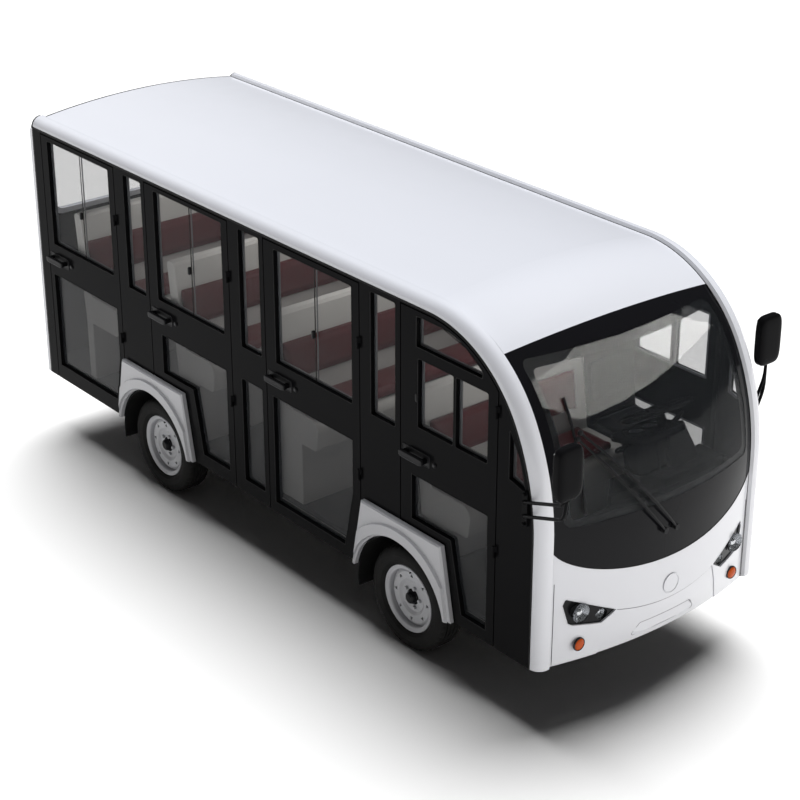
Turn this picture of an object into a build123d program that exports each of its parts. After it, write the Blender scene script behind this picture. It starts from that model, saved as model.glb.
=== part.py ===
"""Enclosed sightseeing cart: body, glazing, doors, seats, running gear. Millimetres.

X forward, Y to the left, Z up, ground at Z = 0. Places along the body are given as
distances forward from the rear end of the side walls and turned into X by fwd().
"""
from build123d import *
from math import cos, sin, radians, atan2, degrees, hypot
import os

os.makedirs("parts", exist_ok=True)

# Overall sizes
HALF_WIDTH = 750.0
WALL = 36.0
SILL_Z = 355.0
LIP_Z = 1926.0
REAR_PANEL = 38.0
REAR_GASKET = 12.0
LAMP_PROUD = 6.0
MIRROR_FRONT = 4675.0
ORIGIN = (MIRROR_FRONT - REAR_PANEL - REAR_GASKET - LAMP_PROUD) / 2
GAP = 7.0
GLASS = 5.0
GLASS_RECESS = 20.0
INNER_Y = HALF_WIDTH - WALL

# Side edge of the roof, seen from the side: straight, two arcs, straight
BEND_X = 3594.8
BEND_R1 = 690.0
BEND_A1 = 62.0
BEND_R2 = 1136.0
SCREEN_TOP_A = 35.0

# Edge band section
BAND_R = 60.0
BAND_FLAT = 14.0
BAND_W = 86.0
BAND_IN = HALF_WIDTH - BAND_W
PANEL_OUT = 44.0
PANEL_IN = PANEL_OUT - WALL
ROOF_CROWN = 49.0

# Wheels
AXLE_Z = 280.0
REAR_AXLE = 1164.0
FRONT_AXLE = 3388.0
WHEEL_INSET = 113.0
WHEEL_Y = HALF_WIDTH - WHEEL_INSET
TYRE_R = 280.0
TYRE_HALF = 82.5
BEAD_R = 165.0
RIM_HALF = 66.0
FLANGE_R = 181.7
SPINDLE_R = 15.0
RUN_FIT = 0.05
KINGPIN_IN = 117.0
KINGPIN_Y = WHEEL_Y - KINGPIN_IN
KINGPIN_R = 12.0

# Wheel arches
ARCH_R = 360.0
ARCH_SHIFT = 10.0
FLARE_SHIFT = 14.0
FLARE_OUT = 30.0
FLARE_BOTTOM = 385.0
FLARE_TOP = 308.0
FLARE_Z = 752.0
FLARE_GAP = 10.0
ROLL_W = 72.0
ROLL_OUT = 14.0
ROLL_EDGE = 14.0

# Floor and frame
DECK_TOP = 455.0
DECK = 30.0
DECK_EDGE = 10.0
DECK_Y = INNER_Y - DECK_EDGE
RAIL_Y = 300.0
RAIL_W = 60.0
RAIL_H = 60.0
HOUSE_Y = 345.0
HOUSE_TOP = 660.0
HOUSE_HALF = 372.0
HOUSE_SHEET = 3.0
HOUSES = [(REAR_AXLE, 885.0, 1170.0), (FRONT_AXLE, 3090.0, 3376.0)]

# Doors and their hinges
HEADER = 20.0
HINGE_OUT = 12.0
KNUCKLE_R = 7.0
PIN_R = 3.5
KNUCKLE_H = 30.0
HINGE_Z = (880.0, 1600.0)
HANDLE_L = 170.0


def fwd(distance):
    """X of a place that lies this far forward of the rear end of the side walls."""
    return distance - ORIGIN


def edge_point(angle, out=0.0):
    """Point (x, z) on the bent side edge at this turn from level, moved outward."""
    a1 = radians(BEND_A1)
    a = radians(angle)
    if angle <= BEND_A1:
        x = BEND_X + BEND_R1 * sin(a)
        z = LIP_Z - BEND_R1 * (1 - cos(a))
    else:
        x = BEND_X + BEND_R1 * sin(a1) + BEND_R2 * (sin(a) - sin(a1))
        z = LIP_Z - BEND_R1 * (1 - cos(a1)) - BEND_R2 * (cos(a1) - cos(a))
    return fwd(x + out * sin(a)), z + out * cos(a)


FRONT_X, UPRIGHT_Z = edge_point(90.0)


def edge_plane(angle, drop=0.0):
    """Plane across the side edge: local x is Y, local y points outward."""
    x, z = edge_point(angle)
    a = radians(angle)
    return Plane(origin=(x, 0, z - drop), x_dir=(0, 1, 0), z_dir=(cos(a), 0, -sin(a)))


def edge_line(out=0.0, rear=0.0):
    """The side edge as lines and arcs in the plane of the side, moved outward."""
    x0, z0 = fwd(rear), LIP_Z + out
    x1, z1 = edge_point(0.0, out)
    xm, zm = edge_point(BEND_A1 / 2, out)
    x2, z2 = edge_point(BEND_A1, out)
    xn, zn = edge_point((BEND_A1 + 90.0) / 2, out)
    x3, z3 = edge_point(90.0, out)
    Line((x0, z0), (x1, z1))
    ThreePointArc((x1, z1), (xm, zm), (x2, z2))
    ThreePointArc((x2, z2), (xn, zn), (x3, z3))
    return x3, z3


# Side walls
# name, rear edge, front edge, lower corner cut by a flare, shape of the top
DOORS = [
    ("rear", 87.0, 868.0, "front", "level"),
    ("third", 1186.0, 1967.0, "rear", "level"),
    ("second", 2290.0, 3070.0, "front", "level"),
    ("front", 3392.0, 4081.0, "rear", "bent"),
]
FLARES = {"rear": REAR_AXLE + ARCH_SHIFT + FLARE_SHIFT, "front": FRONT_AXLE + ARCH_SHIFT + FLARE_SHIFT}
DOOR_FLARE = {"rear": "rear", "third": "rear", "second": "front", "front": "front"}


def flare_edge(centre, side, z, gap):
    """Distance forward of the flare's sloping edge at height z, with a gap outside it."""
    share = (z - SILL_Z) / (FLARE_Z - SILL_Z)
    half = FLARE_BOTTOM + share * (FLARE_TOP - FLARE_BOTTOM) + gap
    return centre + side * half


def door_corners(name, rear, front, cut, grow=0.0):
    """Lower corners of a door from rear to front, round the flare."""
    centre = FLARES[DOOR_FLARE[name]]
    low = SILL_Z - grow
    g = FLARE_GAP - grow
    if cut == "front":
        x_low = flare_edge(centre, -1, low, g)
        slope = (FLARE_BOTTOM - FLARE_TOP) / (FLARE_Z - SILL_Z)
        z_meet = low + (front + grow - x_low) / slope
        return [(rear - grow, low), (x_low, low), (front + grow, z_meet)]
    x_low = flare_edge(centre, 1, low, g)
    z_step = FLARE_Z + g
    x_step = flare_edge(centre, 1, z_step, g)
    return [(rear - grow, z_step), (x_step, z_step), (x_low, low), (front + grow, low)]


def door_face(name, rear, front, cut, top, grow=0.0):
    """Outline of a door in the plane of the side."""
    corners = door_corners(name, rear, front, cut, grow)
    head = HEADER - grow
    with BuildLine() as outline:
        pts = [(fwd(x), z) for x, z in corners]
        Polyline(*pts)
        if top == "level":
            Polyline(
                pts[-1],
                (fwd(front + grow), LIP_Z - head),
                (fwd(rear - grow), LIP_Z - head),
                pts[0],
            )
        else:
            r = BEND_R1 - head
            dx = front + grow - BEND_X
            a_end = degrees(atan2(dx, (r * r - dx * dx) ** 0.5))
            p_end = edge_point(a_end, -head)
            p_mid = edge_point(a_end / 2, -head)
            p_top = edge_point(0.0, -head)
            Line(pts[-1], p_end)
            ThreePointArc(p_end, p_mid, p_top)
            Polyline(p_top, (fwd(rear - grow), LIP_Z - head), pts[0])
    make_face(outline.edges())


# Upper panes of a door: name, rear, front, low, high
UPPER = {
    "rear": [(150.0, 814.0, 1242.0, 1882.0)],
    "third": [(1270.0, 1914.0, 1245.0, 1884.0)],
    "second": [(2375.0, 3014.0, 1245.0, 1876.0)],
    "front": [(3517.0, 3776.0, 1308.0, 1668.0), (3790.0, 4018.0, 1308.0, 1668.0)],
}
# Lower pane of a door as corners from the rear top round
LOWER = {
    "rear": [(124.0, 1045.0), (124.0, 446.0), (764.0, 446.0), (822.0, 740.0), (822.0, 1045.0)],
    "third": [
        (1288.0, 1040.0),
        (1288.0, 804.0),
        (1580.0, 804.0),
        (1660.0, 432.0),
        (1915.0, 432.0),
        (1915.0, 1040.0),
    ],
    "second": [(2340.0, 1045.0), (2340.0, 416.0), (2940.0, 416.0), (3012.0, 752.0), (3012.0, 1045.0)],
    "front": [
        (3473.0, 1042.0),
        (3473.0, 798.0),
        (3766.0, 798.0),
        (3850.0, 420.0),
        (4027.0, 420.0),
        (4027.0, 1042.0),
    ],
}
# Fixed panes: rear, front, low, high
FIXED = [
    (968.0, 1150.0, 1222.0, 1896.0),
    (2066.0, 2250.0, 1232.0, 1896.0),
    (3160.0, 3350.0, 1244.0, 1896.0),
    (2058.0, 2246.0, 436.0, 1046.0),
]
QUARTER = [(4165.0, 1545.0), (4165.0, 1292.0), (4283.0, 1262.0)]
CORNER_R = 14.0


def pane(rear, front, low, high, grow=0.0):
    """Rounded rectangle in the plane of the side."""
    with Locations((fwd((rear + front) / 2), (low + high) / 2)):
        RectangleRounded(front - rear + 2 * grow, high - low + 2 * grow, CORNER_R + grow)


def door_panes(name):
    """All panes of a door in the plane of the side."""
    for row in UPPER[name]:
        pane(*row)
    with BuildLine() as outline:
        Polyline(*[(fwd(x), z) for x, z in LOWER[name]], close=True)
    make_face(outline.edges())
    if name == "front":
        with BuildLine() as outline:
            Polyline((fwd(3690), 1880), (fwd(3505), 1880), (fwd(3505), 1724), (fwd(3972), 1724))
            Line((fwd(3972), 1724), (fwd(3978), 1758))
            ThreePointArc((fwd(3978), 1758), (fwd(3858), 1836), (fwd(3690), 1880))
        make_face(outline.edges())


def fixed_panes():
    """Panes of the fixed wall in the plane of the side."""
    for row in FIXED:
        pane(*row)
    with BuildLine() as outline:
        p = [(fwd(x), z) for x, z in QUARTER]
        Polyline(*p)
        ThreePointArc(p[2], (fwd(4236), 1420), p[0])
    make_face(outline.edges())


def side_plane(side, inset=0.0):
    """Outer face of a side wall, so that extruding goes inward. Side is -1 right, 1 left."""
    y = side * (HALF_WIDTH - inset)
    if side < 0:
        return Plane(origin=(0, y, 0), x_dir=(1, 0, 0), z_dir=(0, -1, 0))
    return Plane(origin=(0, y, 0), x_dir=(1, 0, 0), z_dir=(0, -1, 0))


def inward(side, amount):
    """Extrude amount that goes from the outer face toward the middle."""
    return -amount if side < 0 else amount


# Right and left walls: the left one has one door, for the driver
OPEN_DOORS = {-1: ("rear", "third", "second", "front"), 1: ("front",)}
WALL_NAMES = {-1: "side_wall_right", 1: "side_wall_left"}


def hinge_x(front):
    """Distance forward of a door's hinge pin."""
    return front + GAP / 2


def build_wall(side):
    """A side wall with its door openings, panes, arches and fixed hinge halves."""
    with BuildPart() as wall:
        with BuildSketch(side_plane(side)):
            with BuildLine():
                x3, z3 = edge_line()
                Polyline((x3, z3), (x3, SILL_Z), (fwd(0.0), SILL_Z), (fwd(0.0), LIP_Z))
            make_face()
        extrude(amount=inward(side, WALL))
        with BuildSketch(side_plane(side)):
            fixed_panes()
            for name, rear, front, cut, top in DOORS:
                if name not in OPEN_DOORS[side]:
                    door_panes(name)
            for axle in (REAR_AXLE, FRONT_AXLE):
                with Locations((fwd(axle + ARCH_SHIFT), AXLE_Z)):
                    Circle(ARCH_R)
        extrude(amount=inward(side, WALL), mode=Mode.SUBTRACT)
        for name, rear, front, cut, top in DOORS:
            if name in OPEN_DOORS[side]:
                with BuildSketch(side_plane(side)):
                    door_face(name, rear, front, cut, top, GAP)
                extrude(amount=inward(side, WALL), mode=Mode.SUBTRACT)
                for z in HINGE_Z:
                    hinge_half(side, front, z, True)
    return wall.part


def hinge_half(side, front, z, fixed):
    """Knuckle and leaf of one hinge: the fixed half carries the pin."""
    x = fwd(hinge_x(front))
    y = side * (HALF_WIDTH + HINGE_OUT)
    start = z if fixed else z - KNUCKLE_H - 1.0
    toward = 1 if fixed else -1
    with BuildSketch(Plane.XY.offset(start)) as leaf:
        with Locations((x, y)):
            Circle(KNUCKLE_R)
        with Locations((x + toward * 11.0, side * (HALF_WIDTH + 2.0))):
            Rectangle(14.0, 4.0)
        with BuildLine() as outline:
            Polyline(
                (x - toward * KNUCKLE_R * 0.5, y),
                (x + toward * KNUCKLE_R, y),
                (x + toward * 14.0, side * HALF_WIDTH),
                (x + toward * 4.5, side * HALF_WIDTH),
                close=True,
            )
        make_face(outline.edges())
    extrude(leaf.sketch, amount=KNUCKLE_H)
    if fixed:
        with BuildSketch(Plane.XY.offset(z - KNUCKLE_H - 1.0)) as pin:
            with Locations((x, y)):
                Circle(PIN_R)
        extrude(pin.sketch, amount=KNUCKLE_H + 2.0)


for side in (-1, 1):
    wall_part = build_wall(side)
    wall_part.label = WALL_NAMES[side]
    export_step(wall_part, "parts/" + WALL_NAMES[side] + ".step")

# Fixed glass of both walls and of the rear window
REAR_POST = 118.0
REAR_WINDOW_HALF = HALF_WIDTH - REAR_POST
REAR_TOP = LIP_Z - 14.0
REAR_HEAD = 62.0
REAR_WINDOW = (REAR_TOP - REAR_HEAD - 467.0, REAR_TOP - REAR_HEAD)
REAR_FACE = Plane(origin=(fwd(0.0), 0, 0), x_dir=(0, 1, 0), z_dir=(1, 0, 0))


def rear_window_region():
    """Window opening of the rear wall."""
    with Locations((0, sum(REAR_WINDOW) / 2)):
        RectangleRounded(2 * REAR_WINDOW_HALF, REAR_WINDOW[1] - REAR_WINDOW[0], 60.0)


with BuildPart() as fixed_glass:
    for side in (-1, 1):
        with BuildSketch(side_plane(side, GLASS_RECESS)):
            fixed_panes()
            for name, rear, front, cut, top in DOORS:
                if name not in OPEN_DOORS[side]:
                    door_panes(name)
        extrude(amount=inward(side, GLASS))
    with BuildSketch(REAR_FACE.offset(-REAR_GASKET - 12.0)):
        rear_window_region()
    extrude(amount=-GLASS)
fixed_glass.part.label = "fixed_glass"
export_step(fixed_glass.part, "parts/fixed_glass.step")

# Doors
HANDLE_Z = 1153.0
HANDLE_OUT = 34.0
HANDLE_T = 12.0


def door_frame(side, row):
    """A door with its panes cut out, pull handle and moving hinge halves."""
    name, rear, front, cut, top = row
    with BuildPart() as door:
        with BuildSketch(side_plane(side)):
            door_face(name, rear, front, cut, top)
        extrude(amount=inward(side, WALL))
        with BuildSketch(side_plane(side)):
            door_panes(name)
        extrude(amount=inward(side, WALL), mode=Mode.SUBTRACT)
        grip = fwd(rear + 30.0 + HANDLE_L / 2)
        with BuildSketch(side_plane(side)):
            with GridLocations(HANDLE_L - 30.0, 1.0, 2, 1):
                with Locations((grip, HANDLE_Z)):
                    Rectangle(24.0, 20.0)
        extrude(amount=inward(side, -HANDLE_OUT))
        with BuildSketch(side_plane(side, -HANDLE_OUT)):
            with Locations((grip, HANDLE_Z)):
                RectangleRounded(HANDLE_L, 30.0, 10.0)
        extrude(amount=inward(side, HANDLE_T))
        for z in HINGE_Z:
            hinge_half(side, front, z, False)
            with BuildSketch(Plane.XY.offset(z - KNUCKLE_H - 1.0)):
                with Locations((fwd(hinge_x(front)), side * (HALF_WIDTH + HINGE_OUT))):
                    Circle(PIN_R + RUN_FIT)
            extrude(amount=KNUCKLE_H, mode=Mode.SUBTRACT)
    return door.part


def door_glass(side, row):
    """Panes of a door."""
    name = row[0]
    with BuildPart() as panes:
        with BuildSketch(side_plane(side, GLASS_RECESS)):
            door_panes(name)
        extrude(amount=inward(side, GLASS))
    return panes.part


for row in DOORS:
    frame_part = door_frame(-1, row)
    frame_part.label = "door_" + row[0] + "_right"
    export_step(frame_part, "parts/door_" + row[0] + "_right.step")
    glass_part = door_glass(-1, row)
    glass_part.label = "glass_" + row[0] + "_right"
    export_step(glass_part, "parts/glass_" + row[0] + "_right.step")
driver_door = door_frame(1, DOORS[3])
driver_door.label = "door_driver_left"
export_step(driver_door, "parts/door_driver_left.step")
driver_glass = door_glass(1, DOORS[3])
driver_glass.label = "glass_driver_left"
export_step(driver_glass, "parts/glass_driver_left.step")

# Edge bands along roof, screen pillars and front corners
with BuildPart() as edge_bands:
    with BuildLine() as band_path:
        with BuildLine(Plane(origin=(0, 0, 0), x_dir=(1, 0, 0), z_dir=(0, -1, 0))):
            x3, z3 = edge_line()
            Line((x3, z3), (x3, SILL_Z))
    with BuildSketch(Plane(origin=(fwd(0.0), 0, LIP_Z), x_dir=(0, 1, 0), z_dir=(1, 0, 0))):
        with BuildLine():
            top = BAND_R + BAND_FLAT
            RadiusArc((-HALF_WIDTH, 0), (-HALF_WIDTH + BAND_R, BAND_R), BAND_R)
            Polyline(
                (-HALF_WIDTH + BAND_R, BAND_R),
                (-HALF_WIDTH + top, BAND_R),
                (-BAND_IN, PANEL_OUT),
                (-BAND_IN, PANEL_IN),
                (-INNER_Y + 12.0, PANEL_IN),
                (-INNER_Y, 0),
                (-HALF_WIDTH, 0),
            )
        make_face()
    sweep(path=band_path.wires()[0])
    mirror(about=Plane.XZ)
edge_bands.part.label = "edge_bands"
export_step(edge_bands.part, "parts/edge_bands.step")


def crown_section(crown, depth_out, depth_in):
    """Strip between the bands: outer arc, inner arc and two short ends."""
    with BuildLine() as outline:
        ThreePointArc((-BAND_IN, depth_out), (0, depth_out + crown), (BAND_IN, depth_out))
        Line((BAND_IN, depth_out), (BAND_IN, depth_in))
        ThreePointArc((BAND_IN, depth_in), (0, depth_in + crown), (-BAND_IN, depth_in))
        Line((-BAND_IN, depth_in), (-BAND_IN, depth_out))
    make_face(outline.edges())


# Roof between the bands, as far as the top of the windscreen
with BuildPart() as roof_panel:
    with BuildLine() as roof_path:
        with BuildLine(Plane(origin=(0, 0, 0), x_dir=(1, 0, 0), z_dir=(0, -1, 0))):
            Line((fwd(0.0), LIP_Z), edge_point(0.0))
            ThreePointArc(edge_point(0.0), edge_point(SCREEN_TOP_A / 2), edge_point(SCREEN_TOP_A))
    with BuildSketch(Plane(origin=(fwd(0.0), 0, LIP_Z), x_dir=(0, 1, 0), z_dir=(1, 0, 0))):
        crown_section(ROOF_CROWN, PANEL_OUT, PANEL_IN)
    sweep(path=roof_path.wires()[0])
roof_panel.part.label = "roof_panel"
export_step(roof_panel.part, "parts/roof_panel.step")

# Bulged front between the bands: turn from level, drop below the bend, crown
FRONT_STATIONS = [
    (SCREEN_TOP_A, 0.0, ROOF_CROWN),
    (48.0, 0.0, 58.0),
    (62.0, 0.0, 78.0),
    (76.0, 0.0, 102.0),
    (90.0, 0.0, 120.0),
    (90.0, 150.0, 127.0),
    (90.0, 330.0, 130.0),
    (90.0, 480.0, 129.0),
    (90.0, 580.0, 116.0),
    (90.0, UPRIGHT_Z - SILL_Z, 90.0),
]


def front_skin(depth_out, depth_in):
    """Loft of the bulged front between two depths."""
    with BuildPart() as skin:
        for angle, drop, crown in FRONT_STATIONS:
            with BuildSketch(edge_plane(angle, drop)):
                crown_section(crown, depth_out, depth_in)
        loft()
    return skin.part


thick_front = front_skin(PANEL_OUT, PANEL_IN)
thin_front = front_skin(PANEL_OUT, PANEL_OUT - GLASS)

# Windscreen opening and lower edge of the black mask, seen from the front
SCREEN_BORDER = 52.0
SCREEN_HALF = BAND_IN - SCREEN_BORDER
SCREEN_LOW = 1080.0
SCREEN_HIGH = 1808.0
SCREEN_R = 40.0
SMILE_OVER = 18.0
SMILE_HALF = BAND_IN + SMILE_OVER
SMILE_DEPTH = 240.0
SMILE_Z = 1020.0
FRONT_CUT = 800.0
FRONT_FACE = Plane(origin=(FRONT_X + 300.0, 0, 0), x_dir=(0, 1, 0), z_dir=(1, 0, 0))


def smile_region():
    """Everything under the lower edge of the mask, seen from the front."""
    with BuildLine() as outline:
        EllipticalCenterArc((0, SMILE_Z), SMILE_HALF, SMILE_DEPTH, 180.0, arc_size=180.0)
        Polyline(
            (SMILE_HALF, SMILE_Z),
            (SMILE_HALF + 40.0, SMILE_Z),
            (SMILE_HALF + 40.0, SILL_Z - 50.0),
            (-SMILE_HALF - 40.0, SILL_Z - 50.0),
            (-SMILE_HALF - 40.0, SMILE_Z),
            (-SMILE_HALF, SMILE_Z),
        )
    make_face(outline.edges())


def screen_region():
    """Clear part of the windscreen, seen from the front."""
    with Locations((0, (SCREEN_LOW + SCREEN_HIGH) / 2)):
        RectangleRounded(2 * SCREEN_HALF, SCREEN_HIGH - SCREEN_LOW, SCREEN_R)


with BuildPart() as windscreen:
    add(thin_front)
    with BuildSketch(FRONT_FACE):
        screen_region()
    extrude(amount=-FRONT_CUT, mode=Mode.INTERSECT)
windscreen.part.label = "windscreen"
export_step(windscreen.part, "parts/windscreen.step")

with BuildPart() as front_mask:
    add(thick_front)
    with BuildSketch(FRONT_FACE):
        screen_region()
        smile_region()
    extrude(amount=-FRONT_CUT, mode=Mode.SUBTRACT)
front_mask.part.label = "front_mask"
export_step(front_mask.part, "parts/front_mask.step")

# Headlamp recess corners seen from the front, lamps and indicators
# Inboard of the bands, height
LAMP_POCKET = [
    (BAND_IN - 333.0, 589.0),
    (BAND_IN - 66.0, 708.0),
    (BAND_IN - 54.0, 676.0),
    (BAND_IN - 82.0, 574.0),
    (BAND_IN - 104.0, 560.0),
    (BAND_IN - 254.0, 538.0),
]
POCKET_DEPTH = 9.0
LENS_DEPTH = 3.0
LAMPS = [(BAND_IN - 137.0, 626.0, 40.0), (BAND_IN - 260.0, 582.0, 29.0)]
INDICATOR = (BAND_IN - 138.0, 452.0, 20.0)
INDICATOR_PROUD = 5.0
EMBLEM_Z = 624.0
EMBLEM_R = 52.0
EMBLEM_PROUD = 3.0
CREASE_STEP = 5.0
CREASE = [(326.0, 588.0), (200.0, 562.0), (0.0, 547.0)]
PLATE = [(172.0, 456.0), (222.0, 388.0)]
PLATE_X = 4474.0


def both_sides(points):
    """The same corners on both sides of the middle."""
    yield [(y, z) for y, z in points]
    yield [(-y, z) for y, z in points]


with BuildPart() as emblem_disc:
    add(front_skin(PANEL_OUT + EMBLEM_PROUD, PANEL_OUT - EMBLEM_PROUD))
    with BuildSketch(FRONT_FACE):
        with Locations((0, EMBLEM_Z)):
            Circle(EMBLEM_R)
    extrude(amount=-FRONT_CUT, mode=Mode.INTERSECT)

with BuildPart() as crease_layer:
    add(front_skin(PANEL_OUT + 2.0, PANEL_OUT - CREASE_STEP))
    with BuildSketch(FRONT_FACE):
        with BuildLine():
            left = [(-y, z) for y, z in CREASE]
            ThreePointArc(left[0], CREASE[2], CREASE[0])
            Polyline(
                CREASE[0],
                (CREASE[0][0] + 90.0, SILL_Z - 20.0),
                (-CREASE[0][0] - 90.0, SILL_Z - 20.0),
                left[0],
            )
        make_face()
    extrude(amount=-FRONT_CUT, mode=Mode.INTERSECT)

with BuildPart() as front_fascia:
    add(thick_front)
    with BuildSketch(FRONT_FACE):
        smile_region()
    extrude(amount=-FRONT_CUT, mode=Mode.INTERSECT)
    with BuildSketch(FRONT_FACE):
        for corners in both_sides(LAMP_POCKET):
            with BuildLine():
                Polyline(*corners, close=True)
            make_face()
        for y in (-INDICATOR[0], INDICATOR[0]):
            with Locations((y, INDICATOR[1])):
                Circle(INDICATOR[2])
    extrude(amount=-FRONT_CUT, mode=Mode.SUBTRACT)
    add(crease_layer.part, mode=Mode.SUBTRACT)
    with BuildSketch(Plane(origin=(fwd(PLATE_X), 0, 0), x_dir=(0, 1, 0), z_dir=(1, 0, 0))):
        with BuildLine():
            Polyline(
                (-PLATE[1][0], PLATE[1][1]),
                (PLATE[1][0], PLATE[1][1]),
                (PLATE[0][0], PLATE[0][1]),
                (-PLATE[0][0], PLATE[0][1]),
                close=True,
            )
        make_face()
        fillet(vertices().filter_by_position(Axis.Y, PLATE[0][1] - 1.0, PLATE[0][1] + 1.0), 18.0)
    extrude(amount=100.0, mode=Mode.SUBTRACT)
    add(emblem_disc.part)
front_fascia.part.label = "front_fascia"
export_step(front_fascia.part, "parts/front_fascia.step")

recessed_front = front_skin(PANEL_OUT - POCKET_DEPTH, PANEL_IN)
lens_front = front_skin(PANEL_OUT - LENS_DEPTH, PANEL_IN)
proud_front = front_skin(PANEL_OUT + INDICATOR_PROUD, PANEL_IN)
with BuildPart() as lamp_housings:
    add(recessed_front)
    with BuildSketch(FRONT_FACE):
        for corners in both_sides(LAMP_POCKET):
            with BuildLine():
                Polyline(*corners, close=True)
            make_face()
    extrude(amount=-FRONT_CUT, mode=Mode.INTERSECT)
    with BuildSketch(FRONT_FACE):
        for y, z, r in LAMPS:
            for s in (-1, 1):
                with Locations((s * y, z)):
                    Circle(r)
    extrude(amount=-FRONT_CUT, mode=Mode.SUBTRACT)
lamp_housings.part.label = "lamp_housings"
export_step(lamp_housings.part, "parts/lamp_housings.step")

with BuildPart() as headlamps:
    add(lens_front)
    with BuildSketch(FRONT_FACE):
        for y, z, r in LAMPS:
            for s in (-1, 1):
                with Locations((s * y, z)):
                    Circle(r)
    extrude(amount=-FRONT_CUT, mode=Mode.INTERSECT)
headlamps.part.label = "headlamps"
export_step(headlamps.part, "parts/headlamps.step")

with BuildPart() as indicators:
    add(proud_front)
    with BuildSketch(FRONT_FACE):
        for s in (-1, 1):
            with Locations((s * INDICATOR[0], INDICATOR[1])):
                Circle(INDICATOR[2])
    extrude(amount=-FRONT_CUT, mode=Mode.INTERSECT)
indicators.part.label = "indicators"
export_step(indicators.part, "parts/indicators.step")

# Wiper: two parallel arms from the mask to a tall blade (place, Y, Z)
WIPER_PIVOTS = [(4504.0, -72.0, 939.0), (4505.0, 2.0, 934.0)]
WIPER_MID = [(4492.0, -300.0, 1222.0), (4494.0, -250.0, 1238.0)]
WIPER_ENDS = [(4352.0, -505.0, 1488.0), (4346.0, -486.0, 1512.0)]
BLADE = [(4246.0, -502.0, 1656.0), (4356.0, -512.0, 1440.0), (4434.0, -520.0, 1147.0)]
ARM_R = 6.0
BLADE_R = 7.0
BOSS_OUT = 26.0
with BuildPart() as wiper:
    for points, r in (
        [((WIPER_PIVOTS[k], WIPER_MID[k], WIPER_ENDS[k]), ARM_R) for k in range(2)] + [(BLADE, BLADE_R)]
    ):
        lift = BOSS_OUT - 8.0 if r == ARM_R else 0.0
        a, b, c = [Vector(fwd(p[0]), p[1], p[2]) for p in points]
        a = a + Vector(lift, 0, 0)
        with BuildLine() as rod:
            ThreePointArc(a, b, c)
        with BuildSketch(Plane(origin=rod.line @ 0, z_dir=rod.line % 0)):
            Circle(r)
        sweep(path=rod.wires()[0])
    with Locations(*[Pos(fwd(e[0]), e[1], e[2]) for e in WIPER_ENDS]):
        Sphere(13.0)
    for x, y, z in WIPER_PIVOTS:
        with BuildSketch(Plane(origin=(fwd(x - 40.0), y, z), x_dir=(0, 1, 0), z_dir=(1, 0, 0))):
            Circle(15.0)
        extrude(amount=40.0 + BOSS_OUT)
    add(thick_front, mode=Mode.SUBTRACT)
wiper.part.label = "wiper"
export_step(wiper.part, "parts/wiper.step")

# Wheel arch flares on both sides: a flat plate with a raised roll round the arch


def flare_plate(centre, inset):
    """Outline of a flare with its edges moved in, open over the arch."""
    with BuildLine() as outline:
        Polyline(
            (fwd(centre - FLARE_BOTTOM + inset), SILL_Z),
            (fwd(centre - FLARE_TOP + inset), FLARE_Z - inset),
            (fwd(centre + FLARE_TOP - inset), FLARE_Z - inset),
            (fwd(centre + FLARE_BOTTOM - inset), SILL_Z),
            close=True,
        )
    make_face(outline.edges())
    with Locations((fwd(centre - FLARE_SHIFT), AXLE_Z)):
        Circle(ARCH_R, mode=Mode.SUBTRACT)


with BuildPart() as arch_flares:
    for side in (-1, 1):
        for centre in FLARES.values():
            with BuildSketch(side_plane(side)):
                flare_plate(centre, 0.0)
            extrude(amount=inward(side, -FLARE_OUT))
    rims = arch_flares.faces().filter_by(Axis.Y).sort_by(Axis.Y)
    chamfer(rims[:2].edges() + rims[-2:].edges(), 8.0)
    for side in (-1, 1):
        for centre in FLARES.values():
            with BuildSketch(side_plane(side, -FLARE_OUT)):
                flare_plate(centre, ROLL_EDGE)
                with Locations((fwd(centre - FLARE_SHIFT), AXLE_Z)):
                    Circle(ARCH_R + ROLL_W, mode=Mode.INTERSECT)
                    Circle(ARCH_R + 8.0, mode=Mode.SUBTRACT)
            extrude(amount=inward(side, -ROLL_OUT), taper=20.0)
arch_flares.part.label = "arch_flares"
export_step(arch_flares.part, "parts/arch_flares.step")

# Rear: black end frame, light panel with its window, tail lamps
with BuildPart() as rear_frame:
    with BuildSketch(REAR_FACE):
        with BuildLine():
            RadiusArc((-HALF_WIDTH, LIP_Z), (-HALF_WIDTH + BAND_R, LIP_Z + BAND_R), BAND_R)
            Line((-HALF_WIDTH + BAND_R, LIP_Z + BAND_R), (-BAND_IN, LIP_Z + PANEL_OUT))
            ThreePointArc(
                (-BAND_IN, LIP_Z + PANEL_OUT),
                (0, LIP_Z + PANEL_OUT + ROOF_CROWN),
                (BAND_IN, LIP_Z + PANEL_OUT),
            )
            Line((BAND_IN, LIP_Z + PANEL_OUT), (HALF_WIDTH - BAND_R, LIP_Z + BAND_R))
            RadiusArc((HALF_WIDTH - BAND_R, LIP_Z + BAND_R), (HALF_WIDTH, LIP_Z), BAND_R)
            Polyline(
                (HALF_WIDTH, LIP_Z),
                (HALF_WIDTH, SILL_Z),
                (-HALF_WIDTH, SILL_Z),
                (-HALF_WIDTH, LIP_Z),
            )
        make_face()
        with Locations((0, sum(REAR_WINDOW) / 2)):
            RectangleRounded(
                2 * REAR_WINDOW_HALF + 60.0, REAR_WINDOW[1] - REAR_WINDOW[0] + 60.0, 80.0, mode=Mode.SUBTRACT
            )
    extrude(amount=-REAR_GASKET)
rear_frame.part.label = "rear_frame"
export_step(rear_frame.part, "parts/rear_frame.step")

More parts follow.
